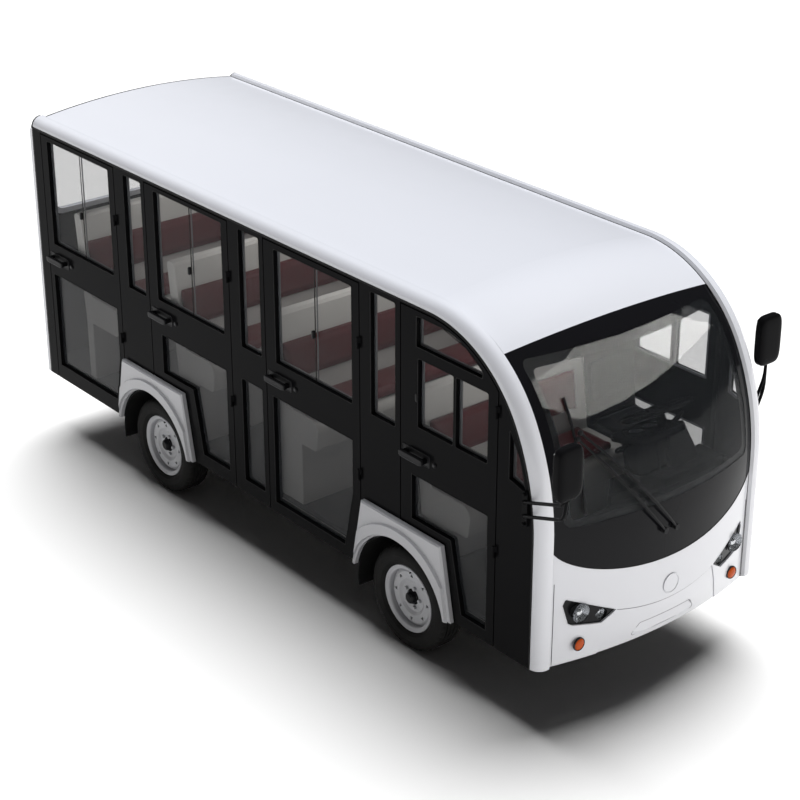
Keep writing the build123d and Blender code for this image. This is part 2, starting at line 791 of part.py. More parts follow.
TAIL_LAMP = (HALF_WIDTH - BAND_W, 640.0, 90.0, 240.0)
with BuildPart() as rear_panel:
    with BuildSketch(REAR_FACE.offset(-REAR_GASKET)):
        with Locations((0, (SILL_Z + REAR_TOP) / 2)):
            Rectangle(2 * HALF_WIDTH, REAR_TOP - SILL_Z)
        with Locations((0, sum(REAR_WINDOW) / 2)):
            RectangleRounded(2 * REAR_WINDOW_HALF, REAR_WINDOW[1] - REAR_WINDOW[0], 60.0, mode=Mode.SUBTRACT)
    extrude(amount=-REAR_PANEL)
    outer = rear_panel.faces().sort_by(Axis.X)[0]
    fillet(outer.outer_wire().edges(), 16.0)
rear_panel.part.label = "rear_panel"
export_step(rear_panel.part, "parts/rear_panel.step")

with BuildPart() as tail_lamps:
    with BuildSketch(REAR_FACE.offset(-REAR_GASKET - REAR_PANEL)):
        for s in (-1, 1):
            with Locations((s * TAIL_LAMP[0], TAIL_LAMP[1])):
                RectangleRounded(TAIL_LAMP[2], TAIL_LAMP[3], 20.0)
    extrude(amount=-LAMP_PROUD)
tail_lamps.part.label = "tail_lamps"
export_step(tail_lamps.part, "parts/tail_lamps.step")

# Floor with four cut-outs for the wheel houses
FLOOR_FRONT = FRONT_X + ORIGIN - 7.0
FLOOR_CORNER = 80.0
with BuildPart() as floor_deck:
    with BuildSketch(Plane.XY.offset(DECK_TOP - DECK)):
        with BuildLine():
            Polyline(
                (fwd(6.0), -DECK_Y),
                (fwd(FLOOR_FRONT - FLOOR_CORNER), -DECK_Y),
                (fwd(FLOOR_FRONT), -DECK_Y + 64.0),
                (fwd(FLOOR_FRONT), DECK_Y - 64.0),
                (fwd(FLOOR_FRONT - FLOOR_CORNER), DECK_Y),
                (fwd(6.0), DECK_Y),
                close=True,
            )
        make_face()
        for axle in (REAR_AXLE, FRONT_AXLE):
            for s in (-1, 1):
                with Locations((fwd(axle), s * (HOUSE_Y - HOUSE_SHEET + DECK_Y) / 2)):
                    Rectangle(
                        2 * HOUSE_HALF + 2 * HOUSE_SHEET, DECK_Y - HOUSE_Y + HOUSE_SHEET, mode=Mode.SUBTRACT
                    )
    extrude(amount=DECK)
floor_deck.part.label = "floor_deck"
export_step(floor_deck.part, "parts/floor_deck.step")

# Wheel houses: a sheet box over each wheel, open below and outward
with BuildPart() as wheel_houses:
    for axle, panel_rear, panel_front in HOUSES:
        for s in (-1, 1):
            with Locations(Pos(fwd(axle), s * (HOUSE_Y - HOUSE_SHEET + DECK_Y) / 2, DECK_TOP - DECK)):
                Box(
                    2 * HOUSE_HALF + 2 * HOUSE_SHEET,
                    DECK_Y - HOUSE_Y + HOUSE_SHEET,
                    HOUSE_TOP - DECK_TOP + DECK + HOUSE_SHEET,
                    align=(Align.CENTER, Align.CENTER, Align.MIN),
                )
            with Locations(Pos(fwd(axle), s * (HOUSE_Y + DECK_Y) / 2, DECK_TOP - DECK)):
                Box(
                    2 * HOUSE_HALF,
                    DECK_Y - HOUSE_Y,
                    HOUSE_TOP - DECK_TOP + DECK,
                    align=(Align.CENTER, Align.CENTER, Align.MIN),
                    mode=Mode.SUBTRACT,
                )
            middle = fwd((panel_rear + panel_front) / 2)
            with Locations(Pos(middle, s * (DECK_Y + INNER_Y) / 2, HOUSE_TOP)):
                Box(
                    panel_front - panel_rear,
                    INNER_Y - DECK_Y,
                    HOUSE_SHEET,
                    align=(Align.CENTER, Align.CENTER, Align.MIN),
                )
wheel_houses.part.label = "wheel_houses"
export_step(wheel_houses.part, "parts/wheel_houses.step")

# Ladder frame: rails, cross members, outriggers to the fixed panels, leaf springs
RAIL_REAR = 30.0
RAIL_FRONT = 4200.0
RAIL_LOW = DECK_TOP - DECK - RAIL_H
CROSS_AT = (60.0, 620.0, 1720.0, 2950.0, 3760.0, 4170.0)
CROSS_W = 60.0
OUTRIGGER_AT = (42.0, 2128.0, RAIL_FRONT)
SPRING_HALF = 360.0
SPRING_PAD = 40.0
SPRING_TOP = 237.0
SPRING_T = 14.0
SPRING_W = 50.0
SPRING_END_Z = 312.0


def spring_profile(axle):
    """Side view of one leaf pack with its two hangers."""
    low = SPRING_TOP - SPRING_T
    with BuildLine() as outline:
        Polyline(
            (fwd(axle - SPRING_HALF - 14.0), RAIL_LOW),
            (fwd(axle - SPRING_HALF - 14.0), SPRING_END_Z - SPRING_T),
            (fwd(axle - SPRING_HALF), SPRING_END_Z - SPRING_T - 6.0),
            (fwd(axle - SPRING_PAD), low),
            (fwd(axle + SPRING_PAD), low),
            (fwd(axle + SPRING_HALF), SPRING_END_Z - SPRING_T - 6.0),
            (fwd(axle + SPRING_HALF + 14.0), SPRING_END_Z - SPRING_T),
            (fwd(axle + SPRING_HALF + 14.0), RAIL_LOW),
            (fwd(axle + SPRING_HALF - 14.0), RAIL_LOW),
            (fwd(axle + SPRING_HALF - 14.0), SPRING_END_Z),
            (fwd(axle + SPRING_PAD), SPRING_TOP),
            (fwd(axle - SPRING_PAD), SPRING_TOP),
            (fwd(axle - SPRING_HALF + 14.0), SPRING_END_Z),
            (fwd(axle - SPRING_HALF + 14.0), RAIL_LOW),
            close=True,
        )
    make_face(outline.edges())


with BuildPart() as chassis_frame:
    for s in (-1, 1):
        with Locations(Pos(fwd((RAIL_REAR + RAIL_FRONT) / 2), s * RAIL_Y, RAIL_LOW)):
            Box(RAIL_FRONT - RAIL_REAR, RAIL_W, RAIL_H, align=(Align.CENTER, Align.CENTER, Align.MIN))
    for x in CROSS_AT:
        with Locations(Pos(fwd(x), 0, RAIL_LOW)):
            Box(CROSS_W, 2 * RAIL_Y, RAIL_H, align=(Align.CENTER, Align.CENTER, Align.MIN))
    for x in OUTRIGGER_AT:
        with Locations(Pos(fwd(x), 0, RAIL_LOW)):
            Box(CROSS_W, 2 * INNER_Y, RAIL_H, align=(Align.CENTER, Align.CENTER, Align.MIN))
    for axle in (REAR_AXLE, FRONT_AXLE):
        for s in (-1, 1):
            with BuildSketch(Plane.XZ.offset(-s * RAIL_Y - SPRING_W / 2)):
                spring_profile(axle)
            extrude(amount=SPRING_W)
chassis_frame.part.label = "chassis_frame"
export_step(chassis_frame.part, "parts/chassis_frame.step")

# Battery block under the floor
BATTERY = (1800.0, 2100.0)
BATTERY_END = 2880.0
BATTERY_HALF = RAIL_Y - RAIL_W / 2 - 15.0
BATTERY_H = 185.0
with BuildPart() as battery_pack:
    with Locations(Pos(fwd((BATTERY[0] + BATTERY_END) / 2), 0, DECK_TOP - DECK)):
        Box(
            BATTERY_END - BATTERY[0],
            2 * BATTERY_HALF,
            BATTERY_H,
            align=(Align.CENTER, Align.CENTER, Align.MAX),
        )
    with Locations(Pos(fwd(OUTRIGGER_AT[1]), 0, DECK_TOP - DECK)):
        Box(
            CROSS_W,
            2 * BATTERY_HALF,
            RAIL_H,
            align=(Align.CENTER, Align.CENTER, Align.MAX),
            mode=Mode.SUBTRACT,
        )
battery_pack.part.label = "battery_pack"
export_step(battery_pack.part, "parts/battery_pack.step")

# Rear axle with its gear case, motor and stub shafts
AXLE_R = 36.0
AXLE_HALF = WHEEL_Y - 77.0
GEAR_R = 95.0
GEAR_W = 150.0
MOTOR_R = 85.0
MOTOR_L = 300.0
DRUM_R = 112.0
DRUM_IN = WHEEL_Y - 77.0
DRUM_OUT = WHEEL_Y - 31.0
SHAFT_END = WHEEL_Y + 53.0
PAD_W = 60.0


def cross_shaft(x, r, y0, y1):
    """Cylinder along Y between two places."""
    with Locations(Location((fwd(x), (y0 + y1) / 2, AXLE_Z), (90, 0, 0))):
        Cylinder(r, abs(y1 - y0))


def spring_pads(x):
    """Blocks by which an axle stands on its leaf packs."""
    for s in (-1, 1):
        with Locations(Pos(fwd(x), s * RAIL_Y, SPRING_TOP)):
            Box(2 * SPRING_PAD, PAD_W, AXLE_Z - SPRING_TOP, align=(Align.CENTER, Align.CENTER, Align.MIN))


with BuildPart() as rear_axle:
    cross_shaft(REAR_AXLE, AXLE_R, -AXLE_HALF, AXLE_HALF)
    cross_shaft(REAR_AXLE, GEAR_R, -GEAR_W / 2, GEAR_W / 2)
    with Locations(Location((fwd(REAR_AXLE + MOTOR_L / 2), 0, AXLE_Z), (0, 90, 0))):
        Cylinder(MOTOR_R, MOTOR_L)
    for s in (-1, 1):
        cross_shaft(REAR_AXLE, DRUM_R, s * DRUM_IN, s * DRUM_OUT)
        cross_shaft(REAR_AXLE, SPINDLE_R, s * DRUM_OUT, s * SHAFT_END)
    spring_pads(REAR_AXLE)
rear_axle.part.label = "rear_axle"
export_step(rear_axle.part, "parts/rear_axle.step")

# Front axle beam with a boss and pin at each end, and the two knuckles
BEAM = 44.0
BOSS_R = 24.0
BOSS_HALF = 30.0
EAR = 22.0
EAR_GAP = 2.0
PIN_HALF = BOSS_HALF + EAR_GAP + EAR
EAR_R = 26.0
KNUCKLE_PLATE = 18.0
with BuildPart() as front_axle:
    with Locations(Pos(fwd(FRONT_AXLE), 0, AXLE_Z)):
        Box(BEAM, 2 * KINGPIN_Y, BEAM)
        for s in (-1, 1):
            with Locations(Pos(0, s * KINGPIN_Y, 0)):
                Cylinder(BOSS_R, 2 * BOSS_HALF)
                Cylinder(KINGPIN_R, 2 * PIN_HALF)
    spring_pads(FRONT_AXLE)
front_axle.part.label = "front_axle"
export_step(front_axle.part, "parts/front_axle.step")


def knuckle(side):
    """Forked steering knuckle with its stub shaft and drum plate."""
    with BuildPart() as body:
        with Locations(Pos(fwd(FRONT_AXLE), side * KINGPIN_Y, AXLE_Z)):
            for up in (-1, 1):
                with Locations(Pos(0, 0, up * (PIN_HALF - EAR / 2))):
                    Cylinder(EAR_R, EAR)
                with Locations(Pos(0, side * 24.0, up * (PIN_HALF - EAR / 2))):
                    Box(2 * EAR_R, 48.0, EAR)
            with Locations(Pos(0, side * (48.0 - KNUCKLE_PLATE / 2), 0)):
                Box(2 * EAR_R, KNUCKLE_PLATE, 2 * PIN_HALF)
        cross_shaft(FRONT_AXLE, DRUM_R, side * (KINGPIN_Y + 42.0), side * DRUM_OUT)
        cross_shaft(FRONT_AXLE, SPINDLE_R, side * DRUM_OUT, side * SHAFT_END)
        with Locations(Pos(fwd(FRONT_AXLE), side * KINGPIN_Y, AXLE_Z)):
            Cylinder(KINGPIN_R + RUN_FIT, 2 * PIN_HALF + 2.0, mode=Mode.SUBTRACT)
    return body.part


KNUCKLES = {-1: "knuckle_right", 1: "knuckle_left"}
for side in (-1, 1):
    knuckle_part = knuckle(side)
    knuckle_part.label = KNUCKLES[side]
    export_step(knuckle_part, "parts/" + KNUCKLES[side] + ".step")

# Wheels: half sections as (radius, distance outboard of the wheel's middle)
TREAD_HALF = 60.0
BULGE_R = 228.0
RIM_T = 5.0
HUB_R = 34.0
HUB_IN = -28.0
DISC_OUT = 30.0
WHEELS = {
    "front_right": (FRONT_AXLE, -1),
    "front_left": (FRONT_AXLE, 1),
    "rear_right": (REAR_AXLE, -1),
    "rear_left": (REAR_AXLE, 1),
}
VENT_COUNT = 8
VENT_R = 122.0
NUT_COUNT = 5
NUT_PCD_R = 57.0


def wheel_plane(axle, side):
    """Plane through the wheel's middle: local x is the radius, local y is outboard."""
    return Plane(
        origin=(fwd(axle), side * WHEEL_Y, AXLE_Z), x_dir=(0, 0, 1), z_dir=(-side * 1.0, 0, 0)
    )


def make_tyre(axle, side):
    """Tyre as a closed ring on the rim."""
    with BuildPart() as tyre:
        with BuildSketch(wheel_plane(axle, side)):
            with BuildLine():
                Polyline(
                    (TYRE_R, -TREAD_HALF),
                    (TYRE_R, TREAD_HALF),
                    (TYRE_R - 8.0, TREAD_HALF + 9.0),
                )
                ThreePointArc(
                    (TYRE_R - 8.0, TREAD_HALF + 9.0), (BULGE_R, TYRE_HALF), (FLANGE_R + 4.0, RIM_HALF - 2.0)
                )
                Polyline(
                    (FLANGE_R + 4.0, RIM_HALF - 2.0),
                    (FLANGE_R + 1.0, RIM_HALF - 9.5),
                    (BEAD_R, RIM_HALF - 9.5),
                    (BEAD_R, -RIM_HALF + 9.5),
                    (FLANGE_R + 1.0, -RIM_HALF + 9.5),
                    (FLANGE_R + 4.0, -RIM_HALF + 2.0),
                )
                ThreePointArc(
                    (FLANGE_R + 4.0, -RIM_HALF + 2.0), (BULGE_R, -TYRE_HALF), (TYRE_R - 8.0, -TREAD_HALF - 9.0)
                )
                Line((TYRE_R - 8.0, -TREAD_HALF - 9.0), (TYRE_R, -TREAD_HALF))
            make_face()
        revolve(axis=Axis((fwd(axle), side * WHEEL_Y, AXLE_Z), (0, 1, 0)))
    return tyre.part


def make_rim(axle, side):
    """Steel rim: barrel, dished disc with vents, hub sleeve and wheel nuts."""
    with BuildPart() as rim:
        with BuildSketch(wheel_plane(axle, side)):
            with BuildLine():
                Polyline(
                    (SPINDLE_R + RUN_FIT, HUB_IN),
                    (HUB_R, HUB_IN),
                    (HUB_R, DISC_OUT - RIM_T),
                    (84.0, DISC_OUT - RIM_T),
                    (100.0, DISC_OUT + 10.0 - RIM_T),
                    (136.0, DISC_OUT + 10.0 - RIM_T),
                    (BEAD_R - 9.0, DISC_OUT - 14.0),
                    (BEAD_R - 9.0, -RIM_HALF + 5.0),
                    (FLANGE_R - 3.0, -RIM_HALF),
                    (FLANGE_R, -RIM_HALF + 2.0),
                    (FLANGE_R, -RIM_HALF + 9.0),
                    (BEAD_R, -RIM_HALF + 9.0),
                    (BEAD_R, RIM_HALF - 9.0),
                    (FLANGE_R, RIM_HALF - 9.0),
                    (FLANGE_R, RIM_HALF - 2.0),
                    (FLANGE_R - 3.0, RIM_HALF),
                    (BEAD_R - 5.0, RIM_HALF - 8.0),
                    (BEAD_R - 9.0, RIM_HALF - 14.0),
                    (BEAD_R - 9.0, DISC_OUT - 2.0),
                    (138.0, DISC_OUT + 10.0),
                    (98.0, DISC_OUT + 10.0),
                    (82.0, DISC_OUT),
                    (HUB_R, DISC_OUT),
                    (HUB_R - 4.0, DISC_OUT + 8.0),
                    (SPINDLE_R + RUN_FIT, DISC_OUT + 8.0),
                    close=True,
                )
            make_face()
        revolve(axis=Axis((fwd(axle), side * WHEEL_Y, AXLE_Z), (0, 1, 0)))
        face = Plane(
            origin=(fwd(axle), side * (WHEEL_Y + DISC_OUT), AXLE_Z), x_dir=(1, 0, 0), z_dir=(0, side * 1.0, 0)
        )
        with BuildSketch(face):
            with PolarLocations(VENT_R, VENT_COUNT):
                RegularPolygon(13.0, 3)
        extrude(amount=40.0, both=True, mode=Mode.SUBTRACT)
        with BuildSketch(face.offset(-1.0)):
            with PolarLocations(NUT_PCD_R, NUT_COUNT):
                RegularPolygon(10.0, 6)
        extrude(amount=15.0)
    return rim.part


for name, (axle, side) in WHEELS.items():
    tyre_part = make_tyre(axle, side)
    tyre_part.label = "tyre_" + name
    export_step(tyre_part, "parts/tyre_" + name + ".step")
    rim_part = make_rim(axle, side)
    rim_part.label = "rim_" + name
    export_step(rim_part, "parts/rim_" + name + ".step")

# Seats: name, front face of the back pad, plinth front from there, right end, left end
BENCH_END = INNER_Y - 14.0
BENCHES = [
    ("fourth", 435.0, 15.0, -BENCH_END, BENCH_END),
    ("third", 1413.0, 160.0, -BENCH_END, BENCH_END),
    ("second", 2348.0, 170.0, -BENCH_END, BENCH_END),
    ("passenger", 3538.0, 200.0, -BENCH_END, 345.0),
    ("driver", 3538.0, 200.0, 375.0, BENCH_END),
]
PAD_T = 22.0
PAD_LOW_Z = 1107.0
PAD_HIGH_Z = 1330.0
BACK_TOP_Z = 1476.0
BACK_T = 72.0
BACK_SLOPE = 0.134
PAN_TOP = 985.0
PAN_LOW = 815.0
PAN_L = 285.0
PAN_NOSE = 60.0
CUSHION_H = 50.0
CUSHION_L = 262.0
PAD_AIR = 0.3
PAD_SIDE = 12.0
PAD_INSET = 72.0


def lean_x(start, z):
    """Place of the shell's front face at height z."""
    return start - PAD_T + BACK_SLOPE * (PAD_HIGH_Z - z)


def shell_profile(start, plinth):
    """Side view of a seat shell: plinth, deep pan with a rounded nose and leaning back."""
    foot = lean_x(start, PAN_TOP)
    head = lean_x(start, BACK_TOP_Z)
    nose = foot + PAN_L
    with BuildLine() as outline:
        Polyline(
            (fwd(start + plinth), DECK_TOP),
            (fwd(foot - BACK_T), DECK_TOP),
            (fwd(foot - BACK_T), PAN_LOW),
            (fwd(head - BACK_T), BACK_TOP_Z - 14.0),
            (fwd(head - BACK_T + 14.0), BACK_TOP_Z),
            (fwd(head - 14.0), BACK_TOP_Z),
            (fwd(head), BACK_TOP_Z - 14.0),
            (fwd(foot), PAN_TOP),
            (fwd(nose - PAN_NOSE), PAN_TOP),
        )
        ThreePointArc(
            (fwd(nose - PAN_NOSE), PAN_TOP),
            (fwd(nose - 0.293 * PAN_NOSE), PAN_TOP - 0.293 * PAN_NOSE),
            (fwd(nose), PAN_TOP - PAN_NOSE),
        )
        Polyline(
            (fwd(nose), PAN_TOP - PAN_NOSE),
            (fwd(nose - 12.0), PAN_LOW + 14.0),
            (fwd(nose - 28.0), PAN_LOW),
            (fwd(start + plinth), PAN_LOW),
            (fwd(start + plinth), DECK_TOP),
        )
    make_face(outline.edges())


with BuildPart() as seat_shells:
    for name, start, plinth, y0, y1 in BENCHES:
        with BuildSketch(Plane.XZ.offset(-y1)):
            shell_profile(start, plinth)
        extrude(amount=y1 - y0)
    for axle, panel_rear, panel_front in HOUSES:
        for s in (-1, 1):
            with Locations(Pos(fwd(axle), s * (HOUSE_Y - HOUSE_SHEET + DECK_Y) / 2, DECK_TOP - DECK)):
                Box(
                    2 * HOUSE_HALF + 2 * HOUSE_SHEET,
                    DECK_Y - HOUSE_Y + HOUSE_SHEET,
                    HOUSE_TOP - DECK_TOP + DECK + HOUSE_SHEET,
                    align=(Align.CENTER, Align.CENTER, Align.MIN),
                    mode=Mode.SUBTRACT,
                )
seat_shells.part.label = "seat_shells"
export_step(seat_shells.part, "parts/seat_shells.step")


def pad_ends(name, y0, y1):
    """Right and left end of a bench's soft pads."""
    inner = PAD_INSET if name == "passenger" else PAD_SIDE
    return y0 + PAD_SIDE, y1 - inner


with BuildPart() as seat_cushions:
    for name, start, plinth, y0, y1 in BENCHES:
        foot = lean_x(start, PAN_TOP)
        right, left = pad_ends(name, y0, y1)
        with Locations(
            Pos(
                fwd(foot + 8.0 + CUSHION_L / 2),
                (right + left) / 2,
                PAN_TOP + PAD_AIR + CUSHION_H / 2,
            )
        ):
            Box(CUSHION_L, left - right, CUSHION_H)
seat_cushions.part.label = "seat_cushions"
export_step(seat_cushions.part, "parts/seat_cushions.step")

with BuildPart() as seat_backs:
    for name, start, plinth, y0, y1 in BENCHES:
        low = lean_x(start, PAD_LOW_Z) + PAD_AIR
        high = lean_x(start, PAD_HIGH_Z) + PAD_AIR
        right, left = pad_ends(name, y0, y1)
        with BuildSketch(Plane.XZ.offset(-left)):
            with BuildLine():
                Polyline(
                    (fwd(low), PAD_LOW_Z),
                    (fwd(low + PAD_T), PAD_LOW_Z + 3.0),
                    (fwd(high + PAD_T), PAD_HIGH_Z + 3.0),
                    (fwd(high), PAD_HIGH_Z),
                    close=True,
                )
            make_face()
        extrude(amount=left - right)
seat_backs.part.label = "seat_backs"
export_step(seat_backs.part, "parts/seat_backs.step")

# Dashboard with the binnacle and column shroud, and the steering wheel
DASH_REAR = 4200.0
DASH_LOW = 830.0
DASH_TOP = 950.0
DASH_HALF = INNER_Y
DASH_SIDE = FRONT_X - 27.0
DASH_NOSE = FRONT_X + 103.0
STEER_Y = 420.0
WHEEL_CENTRE = (3980.0, 1215.0)
WHEEL_TILT = 30.0
STEER_R = 190.0
GRIP_R = 14.0
SHAFT_L = 87.0
TILT = radians(WHEEL_TILT)
SHROUD_X = WHEEL_CENTRE[0] + SHAFT_L * sin(TILT)
SHROUD_Z = WHEEL_CENTRE[1] - SHAFT_L * cos(TILT)
with BuildPart() as dashboard:
    with BuildSketch(Plane.XY.offset(DASH_LOW)):
        with BuildLine():
            Polyline((DASH_SIDE, DASH_HALF), (fwd(DASH_REAR), DASH_HALF), (fwd(DASH_REAR), -DASH_HALF))
            Line((fwd(DASH_REAR), -DASH_HALF), (DASH_SIDE, -DASH_HALF))
            ThreePointArc((DASH_SIDE, -DASH_HALF), (DASH_NOSE, 0), (DASH_SIDE, DASH_HALF))
        make_face()
    extrude(amount=DASH_TOP - DASH_LOW)
    with Locations(Pos(fwd(4160.0), STEER_Y, DASH_LOW)):
        Box(160.0, 420.0, 170.0, align=(Align.CENTER, Align.CENTER, Align.MIN))
    with BuildSketch(Plane.XZ.offset(-STEER_Y - 95.0)):
        with BuildLine():
            Polyline(
                (fwd(4150.0), 900.0),
                (fwd(4010.0), 1000.0),
                (fwd(SHROUD_X - 36.0 * cos(TILT)), SHROUD_Z - 36.0 * sin(TILT)),
                (fwd(SHROUD_X + 42.0 * cos(TILT)), SHROUD_Z + 42.0 * sin(TILT)),
                (fwd(4160.0), 1040.0),
                (fwd(4220.0), 940.0),
                close=True,
            )
        make_face()
    extrude(amount=190.0)
dashboard.part.label = "dashboard"
export_step(dashboard.part, "parts/dashboard.step")

steer_plane = Plane(
    origin=(fwd(WHEEL_CENTRE[0]), STEER_Y, WHEEL_CENTRE[1]),
    x_dir=(0, 1, 0),
    z_dir=(-sin(TILT), 0, cos(TILT)),
)
with BuildPart(steer_plane) as steering_wheel:
    Torus(STEER_R, GRIP_R)
    Cylinder(48.0, 34.0)
    with Locations((0, 0, -SHAFT_L)):
        Cylinder(24.0, SHAFT_L, align=(Align.CENTER, Align.CENTER, Align.MIN))
    with Locations((STEER_R / 2, 0, 0), (-STEER_R / 2, 0, 0)):
        Box(STEER_R - 20.0, 34.0, 12.0)
    with Locations((0, STEER_R / 2, 0)):
        Box(34.0, STEER_R - 20.0, 12.0)
steering_wheel.part.label = "steering_wheel"
export_step(steering_wheel.part, "parts/steering_wheel.step")

# Outside mirrors: side, root, bend of the arm, head centre
MIRROR_Y = HALF_WIDTH + 100.0
ROOT_Y = HALF_WIDTH + 14.0
MIRRORS = [
    (-1, (4285.0, ROOT_Y, 1190.0), (MIRROR_FRONT - 45.0, MIRROR_Y, 1345.0), (MIRROR_FRONT - 30.0, MIRROR_Y, 1548.0)),
    (1, (4285.0, ROOT_Y, 1190.0), (4277.0, MIRROR_Y, 1345.0), (4277.0, MIRROR_Y, 1579.0)),
]
TUBE_R = 8.0
TUBE_APART = 36.0
HEAD = (60.0, 150.0, 262.0)
with BuildPart() as mirrors:
    for side, root, bend, head in MIRRORS:
        with Locations(Pos(fwd(root[0]), side * (HALF_WIDTH + 9.0), root[2])):
            Box(34.0, 18.0, 170.0)
        for up in (-1, 1):
            a = Vector(fwd(root[0]), side * root[1], root[2] + up * TUBE_APART)
            b = Vector(fwd(bend[0]), side * bend[1], bend[2] + up * TUBE_APART)
            with BuildSketch(Plane(origin=a, z_dir=b - a)):
                Circle(TUBE_R)
            extrude(amount=(b - a).length)
            with Locations(Pos(b.X, b.Y, b.Z)):
                Sphere(TUBE_R)
        with Locations(Pos(fwd(bend[0]), side * bend[1], bend[2] - TUBE_APART)):
            Cylinder(
                TUBE_R,
                head[2] - bend[2] + TUBE_APART,
                align=(Align.CENTER, Align.CENTER, Align.MIN),
            )
        with BuildSketch(Plane(origin=(fwd(head[0] - HEAD[0] / 2), side * head[1], head[2]), z_dir=(1, 0, 0), x_dir=(0, 1, 0))):
            RectangleRounded(HEAD[1], HEAD[2], 30.0)
        extrude(amount=HEAD[0])
mirrors.part.label = "mirrors"
export_step(mirrors.part, "parts/mirrors.step")
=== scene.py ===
import math

import bmesh
import bpy
from mathutils import Matrix, Vector
from mathutils.bvhtree import BVHTree


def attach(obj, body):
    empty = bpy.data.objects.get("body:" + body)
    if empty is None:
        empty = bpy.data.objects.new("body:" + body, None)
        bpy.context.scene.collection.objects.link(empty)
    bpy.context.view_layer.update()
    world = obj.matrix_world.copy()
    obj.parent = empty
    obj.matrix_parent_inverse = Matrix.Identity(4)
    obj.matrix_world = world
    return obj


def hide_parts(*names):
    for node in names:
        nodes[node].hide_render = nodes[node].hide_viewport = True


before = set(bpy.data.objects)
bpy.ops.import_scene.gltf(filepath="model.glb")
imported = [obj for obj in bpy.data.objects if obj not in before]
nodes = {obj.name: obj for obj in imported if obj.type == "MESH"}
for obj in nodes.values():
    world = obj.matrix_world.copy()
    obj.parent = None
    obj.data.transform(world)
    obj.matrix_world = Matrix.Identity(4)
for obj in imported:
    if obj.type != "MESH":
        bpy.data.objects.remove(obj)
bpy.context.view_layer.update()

# Places in millimetres: forward of the rear end of the side walls, to the left, up
ORIGIN = 2309.5
HALF_WIDTH = 750
INNER_Y = 714
BAND_IN = 664
SILL_Z = 355
LIP_Z = 1926
PANEL_OUT = 44
BEND_X = 3594.8
BEND_R1 = 690
BEND_A1 = 62
BEND_R2 = 1136
AXLE_Z = 280
AXLES = {"rear": 1164, "front": 3388}
WHEEL_Y = 637
SIDES = {-1: "right", 1: "left"}


def at(x, y, z):
    """A place given in millimetres, in the row frame in metres."""
    return Vector(((x - ORIGIN) / 1000, y / 1000, z / 1000))


# Camera at the photograph's angle, soft studio light and a pale floor
CAMERA_AT = (7.8541, -6.3181, 5.5685)
CAMERA_TO = (0.1624, 0, 0.842)
LENS_MM = 91.19
SENSOR_MM = 36
VIEW_DEPTH = 1500


def aimed(name, data, place, target):
    """A camera or lamp that stands at a place and faces a target."""
    made = bpy.data.objects.new(name, data)
    made.location = place
    made.rotation_euler = (Vector(target) - Vector(place)).to_track_quat("-Z", "Y").to_euler()
    bpy.context.collection.objects.link(made)
    return made


def add_camera():
    """Camera fitted to the photograph."""
    data = bpy.data.cameras.new("photo_camera")
    data.lens = LENS_MM
    data.sensor_width = SENSOR_MM
    data.clip_end = VIEW_DEPTH
    bpy.context.scene.camera = aimed("photo_camera", data, CAMERA_AT, CAMERA_TO)


# Soft boxes: name, place, what it faces, width and height in metres, watts
SOFT_BOXES = [
    ("front_fill", (11, 2.5, 2.4), (2, 0, 0.8), 11, 5, 600),
    ("side_fill", (-1, -10, 2.2), (0, 0, 0.9), 9, 3, 90),
    ("cabin_fill", (-0.2, 0, 1.88), (-0.2, 0, 0), 3.4, 1, 12),
    ("roof_wash", (-3.2, 0, 5.5), (-2.6, 0, 2), 3, 3, 70),
    ("screen_sheen", (7, 5.2, 7.6), (1.95, 0, 1.5), 9, 5, 2500),
]
OVERHEAD_FROM = Vector((-0.34, 0.3, 1))
OVERHEAD_SPREAD = math.radians(52)
OVERHEAD_STRENGTH = 5.2
SKY = (0.95, 0.965, 1, 1)
SKY_STRENGTH = 0.03
SUN_TINT = (0.95, 0.97, 1)
FILL_TINT = (1, 0.985, 0.95)


def add_light():
    """Soft boxes, a wide sun overhead and an even sky; gives the soft boxes."""
    lamps = []
    for name, place, target, width, height, watts in SOFT_BOXES:
        data = bpy.data.lights.new(name, "AREA")
        data.shape = "RECTANGLE"
        data.size = width
        data.size_y = height
        data.energy = watts
        data.color = FILL_TINT
        lamp = aimed(name, data, place, target)
        lamp.visible_glossy = name == "screen_sheen"
        lamp.visible_diffuse = not lamp.visible_glossy
        lamps.append(lamp)
    data = bpy.data.lights.new("overhead", "SUN")
    data.energy = OVERHEAD_STRENGTH
    data.angle = OVERHEAD_SPREAD
    data.color = SUN_TINT
    aimed("overhead", data, (0, 0, 0), -OVERHEAD_FROM).visible_glossy = False
    sky = bpy.data.worlds.new("studio_sky")
    sky.use_nodes = True
    background = sky.node_tree.nodes["Background"]
    background.inputs["Color"].default_value = SKY
    background.inputs["Strength"].default_value = SKY_STRENGTH
    bpy.context.scene.world = sky
    bpy.context.scene.view_settings.view_transform = "Standard"
    return lamps


def keep_light_apart(lamps, floor, screen):
    """Keeps the fills off the floor, and the sheen on the windscreen alone."""
    for lamp in lamps:
        group = bpy.data.collections.new(lamp.name + "_reach")
        group.objects.link(floor if lamp.visible_diffuse else screen)
        if lamp.visible_diffuse:
            group.collection_objects[0].light_linking.link_state = "EXCLUDE"
        lamp.light_linking.receiver_collection = group


add_camera()
soft_boxes = add_light()


# Steps that build shader trees
def feed(tree, socket, value):
    """Gives an input socket the output of another node, or a plain value."""
    if isinstance(value, bpy.types.NodeSocket):
        tree.links.new(value, socket)
    else:
        socket.default_value = value


def add_node(tree, kind, inputs):
    """A shader node with its inputs."""
    node = tree.nodes.new(kind)
    for label, value in inputs.items():
        feed(tree, node.inputs[label], value)
    return node


def maths(tree, operation, first, second):
    """One maths step on two sockets or numbers."""
    step = tree.nodes.new("ShaderNodeMath")
    step.operation = operation
    feed(tree, step.inputs[0], first)
    feed(tree, step.inputs[1], second)
    return step.outputs[0]


